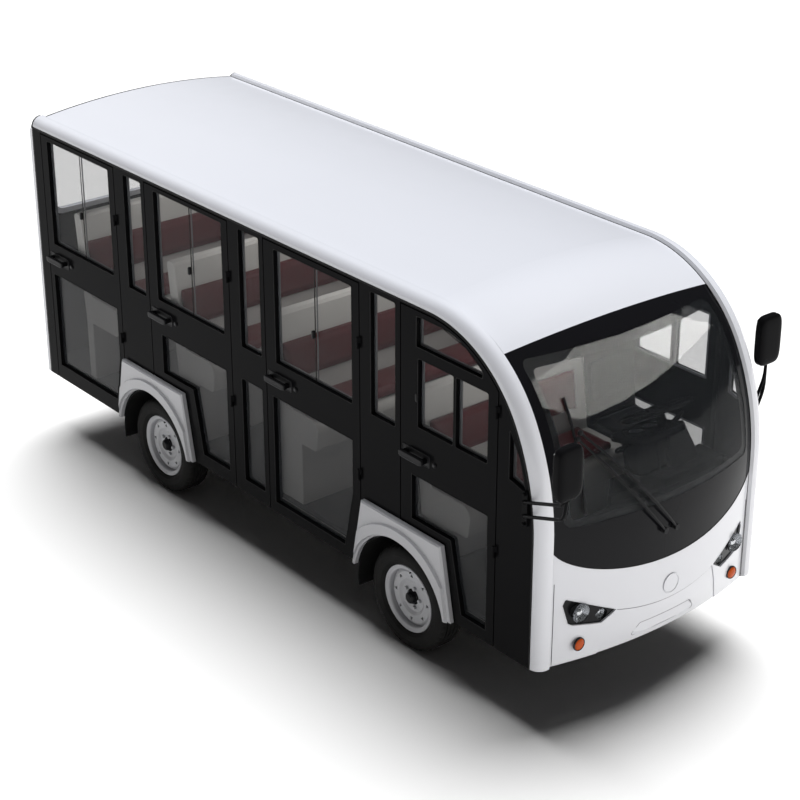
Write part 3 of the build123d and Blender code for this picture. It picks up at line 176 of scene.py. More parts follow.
def mixed(tree, kind, factor, first, second):
    """Blend of two colours (kind RGBA) or of two values (kind FLOAT)."""
    blend = tree.nodes.new("ShaderNodeMix")
    blend.data_type = kind
    for label, value in (("Factor", factor), ("A", first), ("B", second)):
        feed(tree, blend.inputs[label], value)
    return blend.outputs["Result"]


def object_place(tree):
    """Place in the piece's own coordinates."""
    return tree.nodes.new("ShaderNodeTexCoord").outputs["Object"]


def world_place(tree):
    """Place in the row frame, in metres."""
    return tree.nodes.new("ShaderNodeNewGeometry").outputs["Position"]


def world_axes(tree):
    """Place in the row frame as three separate values."""
    return add_node(tree, "ShaderNodeSeparateXYZ", {"Vector": world_place(tree)}).outputs


def noise_at(tree, place, scale, detail):
    """Noise over a place."""
    inputs = {"Vector": place, "Scale": scale, "Detail": detail}
    return add_node(tree, "ShaderNodeTexNoise", inputs).outputs["Fac"]


# Effects that several finishes share
DUST = (0.33, 0.31, 0.28, 1)
DUST_LOW = 0.15
DUST_TOP = 0.7
DUST_PATCHES = 11


def new_group(name, inputs, output):
    """An empty shader group with these inputs and one output, and its sockets inside."""
    tree = bpy.data.node_groups.new(name, "ShaderNodeTree")
    for labels, way in ((inputs, "INPUT"), ((output,), "OUTPUT")):
        for label in labels:
            kind = "NodeSocketColor" if label == "Colour" else "NodeSocketFloat"
            tree.interface.new_socket(label, in_out=way, socket_type=kind)
    inside = tree.nodes.new("NodeGroupInput").outputs
    return tree, inside, tree.nodes.new("NodeGroupOutput").inputs[output]


def drift(tree, inside, middle, detail):
    """Noise that stays within the group's Amount of a middle value."""
    inputs = {
        "Value": noise_at(tree, object_place(tree), inside["Scale"], detail),
        "To Min": maths(tree, "SUBTRACT", middle, inside["Amount"]),
        "To Max": maths(tree, "ADD", middle, inside["Amount"]),
    }
    return add_node(tree, "ShaderNodeMapRange", inputs).outputs["Result"]


def make_cloudy_tone():
    """Colour that drifts a little lighter and darker over the surface."""
    tree, inside, out = new_group("cloudy_tone", ("Colour", "Amount", "Scale"), "Colour")
    tint = tree.nodes.new("ShaderNodeVectorMath")
    tint.operation = "SCALE"
    feed(tree, tint.inputs[0], inside["Colour"])
    feed(tree, tint.inputs["Scale"], drift(tree, inside, 1, 4))
    feed(tree, out, tint.outputs[0])
    return tree


def make_smudged_gloss():
    """Roughness that varies like handled or wiped paint."""
    tree, inside, out = new_group("smudged_gloss", ("Roughness", "Amount", "Scale"), "Roughness")
    feed(tree, out, drift(tree, inside, inside["Roughness"], 6))
    return tree


def make_fine_grain():
    """Height of moulded grain: small cells broken up by noise."""
    tree, inside, out = new_group("fine_grain", ("Scale", "Softness"), "Height")
    place = object_place(tree)
    cells = add_node(tree, "ShaderNodeTexVoronoi", {"Vector": place, "Scale": inside["Scale"]})
    noise = noise_at(tree, place, inside["Scale"], 3)
    feed(tree, out, mixed(tree, "FLOAT", inside["Softness"], cells.outputs["Distance"], noise))
    return tree


def make_road_dust():
    """Colour with a film of dust that fades out with height above the ground."""
    tree, inside, out = new_group("road_dust", ("Colour", "Amount"), "Colour")
    heights = {"Value": world_axes(tree)["Z"], "From Min": DUST_LOW, "From Max": DUST_TOP}
    fade = add_node(tree, "ShaderNodeMapRange", {**heights, "To Min": 1, "To Max": 0})
    patches = noise_at(tree, world_place(tree), DUST_PATCHES, 8)
    film = maths(tree, "MULTIPLY", fade.outputs["Result"], patches)
    mask = maths(tree, "MULTIPLY", film, inside["Amount"])
    feed(tree, out, mixed(tree, "RGBA", mask, inside["Colour"], DUST))
    return tree


CLOUDY_TONE = make_cloudy_tone()
SMUDGED_GLOSS = make_smudged_gloss()
FINE_GRAIN = make_fine_grain()
ROAD_DUST = make_road_dust()
GRAIN_DEPTH = 0.001
COAT_ROUGHNESS = 0.04


def placed(tree, group, **inputs):
    """Output of a shared effect that is placed in a material with its own inputs."""
    node = tree.nodes.new("ShaderNodeGroup")
    node.node_tree = group
    for label, value in inputs.items():
        feed(tree, node.inputs[label], value)
    return node.outputs[0]


def finish(
    name, colour, roughness, tone=(0.04, 3), smudge=(0.04, 8), grain=(0, 300, 0.5),
    metallic=0, coat=0, ior=1.5, dust=0, alpha=1,
):
    """A finish with drifting colour, uneven gloss, grain in relief and road dust."""
    material = bpy.data.materials.new(name)
    material.use_nodes = True
    material.diffuse_color = (*colour, 1)
    tree = material.node_tree
    skin = placed(tree, CLOUDY_TONE, Colour=(*colour, 1), Amount=tone[0], Scale=tone[1])
    if dust > 0:
        skin = placed(tree, ROAD_DUST, Colour=skin, Amount=dust)
    gloss = placed(tree, SMUDGED_GLOSS, Roughness=roughness, Amount=smudge[0], Scale=smudge[1])
    inputs = {
        "Base Color": skin, "Roughness": gloss, "Metallic": metallic, "IOR": ior, "Alpha": alpha,
        "Coat Weight": coat, "Coat Roughness": COAT_ROUGHNESS,
    }
    if grain[0] > 0:
        cells = placed(tree, FINE_GRAIN, Scale=grain[1], Softness=grain[2])
        relief = {"Strength": grain[0], "Distance": GRAIN_DEPTH, "Height": cells}
        inputs["Normal"] = add_node(tree, "ShaderNodeBump", relief).outputs["Normal"]
    for label, value in inputs.items():
        feed(tree, tree.nodes["Principled BSDF"].inputs[label], value)
    return material


def with_corner(name, main, colour, from_x, from_y):
    """A copy of a finish in another colour forward of one line and to the left of another."""
    material = main.copy()
    material.name = name
    tree = material.node_tree
    base = tree.nodes["Principled BSDF"].inputs["Base Color"]
    axes = world_axes(tree)
    forward = maths(tree, "GREATER_THAN", axes["X"], from_x)
    left = maths(tree, "GREATER_THAN", axes["Y"], from_y)
    mask = maths(tree, "MULTIPLY", forward, left)
    feed(tree, base, mixed(tree, "RGBA", mask, base.links[0].from_socket, (*colour, 1)))
    return material


def paint_shade_below(material, height, more):
    """Painted shade: makes a glass less clear under a height in metres, so its dark tint darkens the
    cabin seen through the lower panes.
    """
    tree = material.node_tree
    alpha = tree.nodes["Principled BSDF"].inputs["Alpha"]
    low = maths(tree, "LESS_THAN", world_axes(tree)["Z"], height)
    extra = maths(tree, "MULTIPLY", low, more)
    feed(tree, alpha, maths(tree, "ADD", extra, alpha.default_value))


# Finishes: paint, glass, plastics, metals, seats and lamps
# Painted shade: extra opacity of the side glass below the upper panes darkens the lower cabin
LOWER_PANES_TOP = 1.16
LOWER_PANES_PAINTED_SHADE = 0.22
DRIVER_CORNER = (1.05, 0.36)
WHITE_PAINT = finish(
    "white_gloss_paint", (0.6, 0.605, 0.64), 0.22, tone=(0.012, 1.5), coat=0.5, dust=0.1
)
BLACK_PAINT = finish(
    "black_gloss_paint", (0.005, 0.005, 0.0055), 0.16, tone=(0.15, 2), ior=1.08, dust=0.02
)
FLARE_PAINT = finish(
    "silver_grey_flare_paint", (0.42, 0.42, 0.44), 0.3, tone=(0.02, 4), coat=0.3, dust=0.15
)
WHEEL_PAINT = finish(
    "white_wheel_enamel", (0.46, 0.465, 0.49), 0.3, tone=(0.04, 9), smudge=(0.08, 12),
    coat=0.2, dust=0.25,
)
CHASSIS_PAINT = finish("chassis_black_paint", (0.02, 0.02, 0.022), 0.5, tone=(0.2, 6), dust=0.3)
TINTED_GLASS = finish(
    "tinted_side_glass", (0.014, 0.015, 0.017), 0.03, tone=(0.1, 2), smudge=(0.015, 5),
    ior=1.36, alpha=0.2,
)
# Painted shade over the lower cabin, put into the side glass below LOWER_PANES_TOP
paint_shade_below(TINTED_GLASS, LOWER_PANES_TOP, LOWER_PANES_PAINTED_SHADE)
SCREEN_GLASS = finish(
    "windscreen_glass", (0.02, 0.022, 0.024), 0.02, tone=(0.1, 2), smudge=(0.01, 4),
    ior=1.33, alpha=0.22,
)
SCREEN_BORDER = finish(
    "printed_screen_border", (0.008, 0.008, 0.009), 0.3, tone=(0.1, 9), ior=1.3, alpha=0.72
)
MASK_GLOSS = finish(
    "black_mask_gloss", (0.006, 0.006, 0.007), 0.07, tone=(0.1, 2), smudge=(0.02, 4), ior=1.2
)
BLACK_MOULDING = finish(
    "black_moulded_plastic", (0.012, 0.012, 0.013), 0.42, tone=(0.1, 14),
    grain=(0.25, 420, 0.4), ior=1.22,
)
GLOSS_PLASTIC = finish("black_gloss_plastic", (0.008, 0.008, 0.009), 0.16, tone=(0.08, 9), ior=1.24)
MIRROR_BLACK = finish("black_mirror_plastic", (0.005, 0.005, 0.0055), 0.26, tone=(0.08, 9), ior=1.1)
# Painted shade: mid grey for the thin lines drawn along the fascia's crease and plate recess
PAINTED_SHADE_GREY = finish("painted_crease_shade_grey", (0.2, 0.2, 0.22), 0.4, tone=(0.04, 8))
LINER_GREY = finish(
    "pale_window_liner", (0.17, 0.175, 0.185), 0.45, tone=(0.04, 8), grain=(0.1, 300, 0.5)
)
BATTERY_CASE = finish(
    "battery_case_plastic", (0.05, 0.05, 0.055), 0.6, grain=(0.3, 300, 0.4), dust=0.25
)
RUBBER = finish("black_seal_rubber", (0.01, 0.01, 0.01), 0.55, grain=(0.2, 600, 0.6), ior=1.25)
TYRE_RUBBER = finish(
    "tyre_rubber", (0.009, 0.009, 0.0092), 0.62, tone=(0.2, 25), smudge=(0.1, 20),
    grain=(0.35, 500, 0.5), ior=1.18, dust=0.04,
)
DARK_STEEL = finish(
    "oiled_dark_steel", (0.03, 0.03, 0.032), 0.35, metallic=0.8, tone=(0.15, 20), dust=0.1
)
FLOOR_VINYL = finish(
    "ribbed_floor_vinyl", (0.055, 0.056, 0.06), 0.55, tone=(0.12, 6), grain=(0.5, 180, 0.2), ior=1.4,
)
SEAT_MOULDING = finish(
    "cream_seat_moulding", (0.6, 0.59, 0.57), 0.38, tone=(0.03, 5), grain=(0.12, 350, 0.6), ior=1.3,
)
SEAT_SHELLS = with_corner("seat_mouldings", SEAT_MOULDING, (0.035, 0.036, 0.038), *DRIVER_CORNER)
SEAT_VINYL = finish(
    "burgundy_seat_vinyl", (0.105, 0.012, 0.016), 0.34, tone=(0.12, 7), smudge=(0.07, 9),
    grain=(0.45, 260, 0.25), coat=0.15,
)
DRIVER_VINYL = finish(
    "charcoal_seat_vinyl", (0.02, 0.02, 0.022), 0.38, tone=(0.12, 7), smudge=(0.07, 9),
    grain=(0.45, 260, 0.25), ior=1.45,
)
CHROME = finish("lamp_chrome", (0.78, 0.79, 0.81), 0.1, metallic=1, tone=(0.03, 12), smudge=(0.03, 20))
LAMP_BOWL = finish(
    "lamp_reflector", (0.24, 0.25, 0.27), 0.12, metallic=1, tone=(0.6, 90), smudge=(0.05, 40)
)
LAMP_GLASS = finish("clear_lamp_lens", (0.3, 0.32, 0.34), 0.03, smudge=(0.01, 9), alpha=0.1)
AMBER_LENS = finish(
    "amber_lens", (0.42, 0.065, 0.007), 0.14, tone=(0.1, 60), grain=(0.5, 160, 0.1),
    coat=0.1, ior=1.25,
)
RED_LENS = finish(
    "red_lens", (0.3, 0.006, 0.008), 0.2, tone=(0.1, 50), grain=(0.5, 140, 0.1), coat=0.1, ior=1.2,
)
MIRROR_SILVER = finish(
    "mirror_silver", (0.82, 0.84, 0.86), 0.02, metallic=1, tone=(0.01, 3), smudge=(0.01, 3)
)
DIAL_FACE = finish("dial_face", (0.04, 0.042, 0.05), 0.4, tone=(0.1, 40))
DIAL_MARK = finish("dial_mark_white", (0.7, 0.7, 0.7), 0.5, tone=(0.05, 40))
STUDIO_FLOOR = finish(
    "pale_studio_floor", (0.97, 0.95, 0.92), 0.5, tone=(0.004, 0.4), smudge=(0.03, 2), ior=1.2
)

# Finishes of the CAD pieces that stay in sight, found by how their names start
NODE_FINISHES = [
    (BLACK_PAINT, ("side_wall", "door")),
    (TINTED_GLASS, ("fixed_glass", "glass")),
    (WHITE_PAINT, ("edge_bands", "roof_panel", "front_fascia", "rear_panel")),
    (SCREEN_GLASS, ("windscreen",)),
    (MASK_GLOSS, ("front_mask",)),
    (FLARE_PAINT, ("arch_flares",)),
    (GLOSS_PLASTIC, ("lamp_housings", "steering_wheel")),
    (BLACK_MOULDING, ("rear_frame", "dashboard", "wiper")),
    (RED_LENS, ("tail_lamps",)),
    (WHEEL_PAINT, ("rim",)),
    (CHASSIS_PAINT, ("wheel_houses", "chassis_frame", "rear_axle", "front_axle")),
    (DARK_STEEL, ("knuckle",)),
    (BATTERY_CASE, ("battery_pack",)),
    (FLOOR_VINYL, ("floor_deck",)),
    (SEAT_SHELLS, ("seat_shells",)),
]


def dress_nodes():
    """Gives every CAD piece that stays in sight its finish."""
    for material, starts in NODE_FINISHES:
        for name, node in nodes.items():
            if name.startswith(starts):
                for holder in node.material_slots:
                    holder.material = material


dress_nodes()


# Mesh building
def piece(name, mesh, material, body, sharp):
    """A new piece of the scene with its finish, riding on a body."""
    made = bpy.data.objects.new(name, mesh)
    bpy.context.collection.objects.link(made)
    mesh.materials.append(material)
    mesh.shade_smooth()
    mesh.set_sharp_from_angle(angle=math.radians(sharp))
    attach(made, body)
    return made


class Shape:
    """Vertices and faces gathered from several forms into one mesh."""

    def __init__(self):
        self.verts = []
        self.faces = []

    def weave(self, rows, close_rows, close_points, capped=False):
        """Faces between neighbouring rows of points, and over the two end rows if capped."""
        start = len(self.verts)
        count = len(rows[0])
        for row in rows:
            self.verts.extend(row)
        for i in range(len(rows) if close_rows else len(rows) - 1):
            here = start + i * count
            there = start + (i + 1) % len(rows) * count
            for j in range(count if close_points else count - 1):
                k = (j + 1) % count
                self.faces.append((here + j, here + k, there + k, there + j))
        if capped:
            for first in (start, start + (len(rows) - 1) * count):
                self.faces.append(tuple(range(first, first + count)))

    def piece(self, name, material, body="body", sharp=35):
        """The gathered forms as a piece of the scene, with points that meet joined."""
        made = bpy.data.meshes.new(name)
        made.from_pydata([tuple(v) for v in self.verts], [], self.faces)
        work = bmesh.new()
        work.from_mesh(made)
        bmesh.ops.remove_doubles(work, verts=work.verts, dist=0.00002)
        bmesh.ops.recalc_face_normals(work, faces=work.faces)
        work.to_mesh(made)
        work.free()
        return piece(name, made, material, body, sharp)


def basis(axis):
    """Two directions square to an axis."""
    axis = axis.normalized()
    first = axis.cross(Vector((0, 0, 1)))
    if first.length < 0.01:
        first = axis.cross(Vector((0, 1, 0)))
    first.normalize()
    return first, axis.cross(first)


def full_turn(steps):
    """Angles of the steps of one turn."""
    return [2 * math.pi * k / steps for k in range(steps)]


def lathe(shape, profile, centre, axis, steps=48, closed=False, wobble=None):
    """Turns (radius, distance along the axis) in metres round an axis."""
    axis = axis.normalized()
    first, second = basis(axis)
    rows = []
    for k, angle in enumerate(full_turn(steps)):
        out = first * math.cos(angle) + second * math.sin(angle)
        rows.append([centre + out * (wobble(k, r, d) if wobble else r) + axis * d for r, d in profile])
    shape.weave(rows, True, closed)


def rod(shape, points, radius, sides=10, closed=False, flat=1):
    """Round bar along a line of points, or a ring of them."""
    points = [Vector(p) for p in points]
    n = len(points)
    rows = []
    side = None
    for i, point in enumerate(points):
        back, ahead = (i - 1, (i + 1) % n) if closed else (max(i - 1, 0), min(i + 1, n - 1))
        along = (points[ahead] - points[back]).normalized()
        side = side or basis(along)[0]
        side = (side - along * side.dot(along)).normalized()
        up = along.cross(side) * flat
        rows.append(
            [point + (side * math.cos(a) + up * math.sin(a)) * radius for a in full_turn(sides)]
        )
    shape.weave(rows, closed, True, capped=not closed)


def corner_curve(before, here, after, cut, steps):
    """Curve that cuts a corner off at the same distance on both sides."""
    a = here + (before - here).normalized() * cut
    b = here + (after - here).normalized() * cut
    shares = [k / steps for k in range(steps + 1)]
    return [a * (1 - t) ** 2 + here * (2 * t * (1 - t)) + b * t**2 for t in shares]


def around(corners):
    """The corners of a polygon, each between its neighbours."""
    spots = [Vector(corner) for corner in corners]
    return list(zip(spots[-1:] + spots[:-1], spots, spots[1:] + spots[:1]))


def rounded(corners, radius, steps=5):
    """A polygon with its corners rounded, as points."""
    points = []
    for before, here, after in around(corners):
        back, ahead = before - here, after - here
        cut = radius / math.tan(back.angle(ahead) / 2)
        cut = min(cut, back.length * 0.48, ahead.length * 0.48)
        points.extend(corner_curve(before, here, after, cut, steps))
    return points


def bent(points, radius, steps=6):
    """A line of points with its corners rounded."""
    spots = [Vector(point) for point in points]
    run = [spots[0]]
    for before, here, after in zip(spots, spots[1:], spots[2:]):
        cut = min(radius, (before - here).length * 0.45, (after - here).length * 0.45)
        run.extend(corner_curve(before, here, after, cut, steps))
    return run + [spots[-1]]


def inset(corners, distance):
    """A polygon moved inward by a distance, corner for corner."""
    triples = around(corners)
    turn = 1 if sum(a.x * b.y - b.x * a.y for a, b, _ in triples) > 0 else -1
    moved = []
    for before, here, after in triples:
        a = (here - before).normalized()
        b = (after - here).normalized()
        square = Vector((-a.y, a.x)) * turn
        middle = (square + Vector((-b.y, b.x)) * turn).normalized()
        moved.append(here + middle * (distance / max(0.2, middle.dot(square))))
    return moved


def dense(points, longest):
    """A closed line of points with no step longer than this."""
    more = []
    for a, b in zip(points, points[1:] + points[:1]):
        count = max(1, math.ceil((b - a).length / longest))
        more.extend(a + (b - a) * (k / count) for k in range(count))
    return more


def ring(shape, outer, inner, lay, near, far):
    """Flat frame between two outlines of as many points, laid at two depths."""
    loops = ((outer, near), (inner, near), (inner, far), (outer, far))
    shape.weave([[lay(p[0], p[1], depth) for p in points] for points, depth in loops], True, True)


def slab(shape, outline, lay, near, far):
    """Plate with this outline between two depths."""
    rows = [[lay(p[0], p[1], depth) for p in outline] for depth in (near, far)]
    shape.weave(rows, False, True, capped=True)


def pillow(shape, centre, half, turn=None, power=0.35, steps=28):
    """Rounded block like a cushion: half sizes in metres along its own axes."""
    turn = turn or Matrix.Identity(3)

    def soft(value):
        return math.copysign(abs(value) ** power, value)

    rows = []
    for i in range(steps + 1):
        v = -math.pi / 2 + math.pi * i / steps
        across, up = soft(math.cos(v)), soft(math.sin(v))
        row = []
        for u in full_turn(2 * steps):
            local = (across * soft(math.cos(u)), across * soft(math.sin(u)), up)
            row.append(Vector(centre) + turn @ Vector([h * c for h, c in zip(half, local)]))
        rows.append(row)
    shape.weave(rows, False, True)


def side_lay(side):
    """Places a point of a side wall: distance forward, height, depth inward."""
    return lambda x, z, depth: at(x, side * (HALF_WIDTH - depth), z)


def box_corners(rear, front, low, high):
    """Corners of an upright rectangle."""
    return [(rear, low), (front, low), (front, high), (rear, high)]


# Line of the roof's side edge: straight, two arcs, straight
def edge_point(angle, out):
    """Place of the bent side edge at this turn from level, moved outward."""
    a1 = math.radians(BEND_A1)
    a = math.radians(angle)
    first = min(a, a1)
    x = BEND_X + BEND_R1 * math.sin(first)
    z = LIP_Z - BEND_R1 * (1 - math.cos(first))
    if a > a1:
        x += BEND_R2 * (math.sin(a) - math.sin(a1))
        z -= BEND_R2 * (math.cos(a1) - math.cos(a))
    return x + out * math.sin(a), z + out * math.cos(a)


def edge_run(out):
    """The side edge from the rear over the roof and down to the sill, moved outward."""
    run = [(BEND_X * k / 12, LIP_Z + out) for k in range(12)]
    run.extend(edge_point(angle, out) for angle in range(0, 91, 3))
    x, z = run[-1]
    run.extend((x, z + (SILL_Z - z) * k / 6) for k in range(1, 7))
    return run


# Front skin, found from the CAD pieces so that trim lies on it
FRONT_NODES = ("front_fascia", "front_mask", "windscreen")
AHEAD_OF_ALL = 4
RECESS_X = 4440


def search_tree(node):
    """Search tree of a CAD piece's faces."""
    verts = [node.matrix_world @ v.co for v in node.data.vertices]
    return BVHTree.FromPolygons(verts, [tuple(p.vertices) for p in node.data.polygons])


FRONT_TREES = [search_tree(nodes[name]) for name in FRONT_NODES]


def front_at(y, z, depth=0):
    """Point on the front's outer skin, or in a lamp recess, and its outward direction."""
    start = Vector((AHEAD_OF_ALL, y / 1000, z / 1000))
    hits = [tree.ray_cast(start, Vector((-1, 0, 0))) for tree in FRONT_TREES]
    hits = [hit for hit in hits if hit[0] is not None]
    if not hits:
        return at(RECESS_X, y, z), Vector((1, 0, 0))
    place, normal, _, _ = max(hits, key=lambda hit: hit[0].x)
    if normal.x < 0:
        normal = -normal
    return place - normal * (depth / 1000), normal


def front_lay(y, z, depth):
    """Places a point seen from the front at a depth under the skin."""
    return front_at(y, z, depth)[0]


# Panes and doors of the side walls, as in the CAD pieces
UPPER = {
    "rear": [(150, 814, 1242, 1882)],
    "third": [(1270, 1914, 1245, 1884)],
    "second": [(2375, 3014, 1245, 1876)],
    "front": [(3517, 3776, 1308, 1668), (3790, 4018, 1308, 1668)],
}
LOWER = {
    "rear": [(124, 1045), (124, 446), (764, 446), (822, 740), (822, 1045)],
    "third": [(1288, 1040), (1288, 804), (1580, 804), (1660, 432), (1915, 432), (1915, 1040)],
    "second": [(2340, 1045), (2340, 416), (2940, 416), (3012, 752), (3012, 1045)],
    "front": [(3473, 1042), (3473, 798), (3766, 798), (3850, 420), (4027, 420), (4027, 1042)],
}
FAN = [(3690, 1880), (3505, 1880), (3505, 1724), (3972, 1724), (3978, 1758), (3858, 1836)]
FIXED = [
    (968, 1150, 1222, 1896), (2066, 2250, 1232, 1896), (3160, 3350, 1244, 1896),
    (2058, 2246, 436, 1046),
]
QUARTER = [(4165, 1545), (4165, 1292), (4283, 1262), (4236, 1420)]
DOORS = {
    "rear": [(87, 355), (779, 355), (868, 809), (868, 1906), (87, 1906)],
    "third": [(1186, 762), (1504, 762), (1583, 355), (1967, 355), (1967, 1906), (1186, 1906)],
    "second": [(2290, 355), (3003, 355), (3070, 697), (3070, 1906), (2290, 1906)],
    "front": [
        (3392, 762), (3728, 762), (3807, 355), (4081, 355), (4081, 1710),
        (3990, 1800), (3870, 1860), (3730, 1898), (3600, 1906), (3392, 1906),
    ],
}
LEAVES = {-1: {name: name + "_right" for name in UPPER}, 1: {"front": "driver_left"}}
PANE_R = 14
LOWER_R = 3
POINTED_R = 4
BEAD_R = 0.0022
LINER_W = 11
LINER_NEAR = 26
LINER_FAR = 36


def sliding_edge(bead, liner, row, side):
    """Thin meeting edge of the two sliding panes, in the middle of an upper window."""
    rear, front, low, high = row
    middle = (rear + front) / 2
    for shape, start, end, near, far in ((bead, -3.5, 3.5, 18, 20), (liner, 4.5, 9, 25, 31)):
        edge = box_corners(middle + start, middle + end, low + 1, high - 1)
        slab(shape, edge, side_lay(side), near, far)


def pane_trim(bead, liner, corners, radius, side):
    """Rubber bead round a pane and the pale liner of its opening behind the glass."""
    lay = side_lay(side)
    outline = rounded(corners, radius)
    rod(bead, [lay(p.x, p.y, 0.5) for p in outline], BEAD_R, 8, closed=True)
    inner = rounded(inset(corners, LINER_W), max(2, radius - LINER_W))
    ring(liner, outline, inner, lay, LINER_NEAR, LINER_FAR)


def panes_of(name):
    """Corners and corner radius of every pane of a door."""
    for row in UPPER[name]:
        yield box_corners(*row), PANE_R
    yield LOWER[name], LOWER_R
    if name == "front":
        yield FAN, POINTED_R


def add_pane_trim():
    """Beads and liners of both sides, on the doors and on the fixed walls."""
    for side, hand in SIDES.items():
        wall = Shape(), Shape()
        for row in FIXED:
            pane_trim(*wall, box_corners(*row), PANE_R, side)
        pane_trim(*wall, QUARTER, POINTED_R, side)
        for name in UPPER:
            leaf = LEAVES[side].get(name)
            trim = (Shape(), Shape()) if leaf else wall
            for corners, radius in panes_of(name):
                pane_trim(*trim, corners, radius, side)
            if len(UPPER[name]) == 1:
                sliding_edge(*trim, UPPER[name][0], side)
            if leaf:
                trim[0].piece("pane_bead_" + leaf, RUBBER, "leaf_" + leaf)
                trim[1].piece("pane_liner_" + leaf, LINER_GREY, "leaf_" + leaf)
        wall[0].piece("pane_bead_wall_" + hand, RUBBER)
        wall[1].piece("pane_liner_wall_" + hand, LINER_GREY)


add_pane_trim()

# Door furniture: pocket and lever of the pull handle, lock cylinder, window catch
HANDLE_FROM = 30
HANDLE_Z = 1153
HANDLE_L = 170
HANDLE_OUT = 34
POCKET_W = 62
POCKET_OVER = 16
POCKET_EDGE_R = 0.0026
LOCK_FROM = 52
LOCK_RING = [(0, 0.008), (0.01, 0.008), (0.013, 0.005), (0.013, 0)]
LOCK_FACE = [(0, 0.0095), (0.0062, 0.0095), (0.0072, 0.008), (0.0072, 0)]
CATCH_SHARE = 0.42


def add_handle(rim, dark, rear, lay):
    """Pocket, lever and lock of a door's pull handle, from its rear end."""
    front = rear + HANDLE_L
    middle = (rear + front) / 2
    low = HANDLE_Z - POCKET_W / 2
    pocket = box_corners(rear - POCKET_OVER, front + POCKET_OVER, low, low + POCKET_W)
    edge = [lay(p.x, p.y, -0.5) for p in rounded(pocket, 12)]
    rod(dark, edge, POCKET_EDGE_R, 8, closed=True)
    slab(dark, rounded(inset(pocket, 2.5), 10), lay, -0.9, 2)
    reach = HANDLE_L / 2000 + 0.002
    lever = lay(middle, HANDLE_Z, -HANDLE_OUT - 1)
    pillow(dark, lever, (reach, 0.008, 0.0165), power=0.3)
    lip = lay(middle, HANDLE_Z - 13, -HANDLE_OUT - 8)
    pillow(rim, lip, (reach - 0.01, 0.0022, 0.0028), power=0.5, steps=12)
    spot = lay(front + LOCK_FROM, HANDLE_Z, 0)
    out = Vector((0, spot.y, 0))
    lathe(dark, LOCK_RING, spot, out, 24)
    lathe(rim, LOCK_FACE, spot, out, 20)


def add_door_furniture():
    """Handle, lock and window catch of every door."""
    for side in SIDES:
        lay = side_lay(side)
        for name, leaf in LEAVES[side].items():
            rim, dark = Shape(), Shape()
            add_handle(rim, dark, DOORS[name][0][0] + HANDLE_FROM, lay)
            rear, front, low, high = UPPER[name][0]
            catch_x = (rear + front) / 2 if len(UPPER[name]) == 1 else rear - 10
            catch = lay(catch_x, low + CATCH_SHARE * (high - low), 6)
            pillow(dark, catch, (0.008, 0.01, 0.022), power=0.4, steps=12)
            rim.piece("handle_rim_" + leaf, DARK_STEEL, "leaf_" + leaf)
            dark.piece("handle_grip_" + leaf, BLACK_MOULDING, "leaf_" + leaf)


add_door_furniture()

# Seams of the body: band to roof and front, lip over the doors, edge of the mask
SEAM_R = 0.0022
LIP_R = 0.0042
EDGE_R = 0.0016
SMILE_HALF = 662
SMILE_SPAN = 682
SMILE_TOP = 1020
SMILE_DROP = 240
FRONT_SEAM_Y = 653
CREASE_HALF = 326
CREASE_ENDS = 583
CREASE_MIDDLE = 542
PLATE_RECESS = [(-222, 388), (222, 388), (172, 456), (-172, 456)]


def smile_z(y):
    """Height of the mask's lower edge."""
    return SMILE_TOP - SMILE_DROP * math.sqrt(1 - (y / SMILE_SPAN) ** 2)


def crease_z(y):
    """Height of the fascia's crease, an arc between its middle and its ends."""
    drop = CREASE_ENDS - CREASE_MIDDLE
    radius = (CREASE_HALF**2 + drop**2) / (2 * drop)
    return CREASE_MIDDLE + radius - math.sqrt(radius**2 - y**2)


def add_seams():
    """Dark joints between the painted panels."""
    shape = Shape()
    for side in SIDES:
        for y, out, radius in ((BAND_IN, PANEL_OUT + 0.2, SEAM_R), (HALF_WIDTH + 0.5, 0, LIP_R)):
            rod(shape, [at(x, side * y, z) for x, z in edge_run(out)], radius, 8)
        upright = [front_lay(side * FRONT_SEAM_Y, z, -0.1) for z in range(360, 801, 20)]
        rod(shape, upright, EDGE_R, 8)
    across = [SMILE_HALF * (k / 30 - 1) for k in range(61)]
    rod(shape, [front_lay(y, smile_z(y), -0.3) for y in across], SEAM_R, 8)
    shape.piece("panel_seams", RUBBER)


# Painted shade: grey rods drawn where shade falls under the crease and along the plate recess
def add_painted_crease_shade():
    """Painted shade: grey lines along the fascia's crease and the upper edges of the bare plate space.
    """
    shape = Shape()
    across = [CREASE_HALF * (k / 20 - 1) for k in range(41)]
    rod(shape, [front_lay(y, crease_z(y), 0.2) for y in across], EDGE_R * 1.3, 8)
    foot = PLATE_RECESS[0][1] + 1
    recess = [p for p in dense(rounded(PLATE_RECESS, 18), 20) if p.y > foot]
    rod(shape, [front_lay(p.x, p.y, 0.2) for p in recess], EDGE_R, 8)
    shape.piece("painted_crease_shade_lines", PAINTED_SHADE_GREY)


add_seams()
add_painted_crease_shade()

# Black end caps of the side bands over the rear end
CAP_X = -6
CAP_R = 0.006


def add_band_caps():
    """Rubber strips round the rear ends of the side bands."""
    shape = Shape()
    for side in SIDES:
        run = []
        for k in range(13):
            turn = math.radians(90 * k / 12 - 4)
            y = BAND_IN + (HALF_WIDTH - BAND_IN) * math.cos(turn)
            run.append(at(CAP_X, side * y, LIP_Z + PANEL_OUT * math.sin(turn)))
        rod(shape, run, CAP_R, 10)
    shape.piece("band_end_caps", RUBBER)


add_band_caps()

# Windscreen border printed on the inside of the glass
SCREEN_HALF = 612
SCREEN_LOW = 1080
SCREEN_HIGH = 1808
BORDER_W = 38


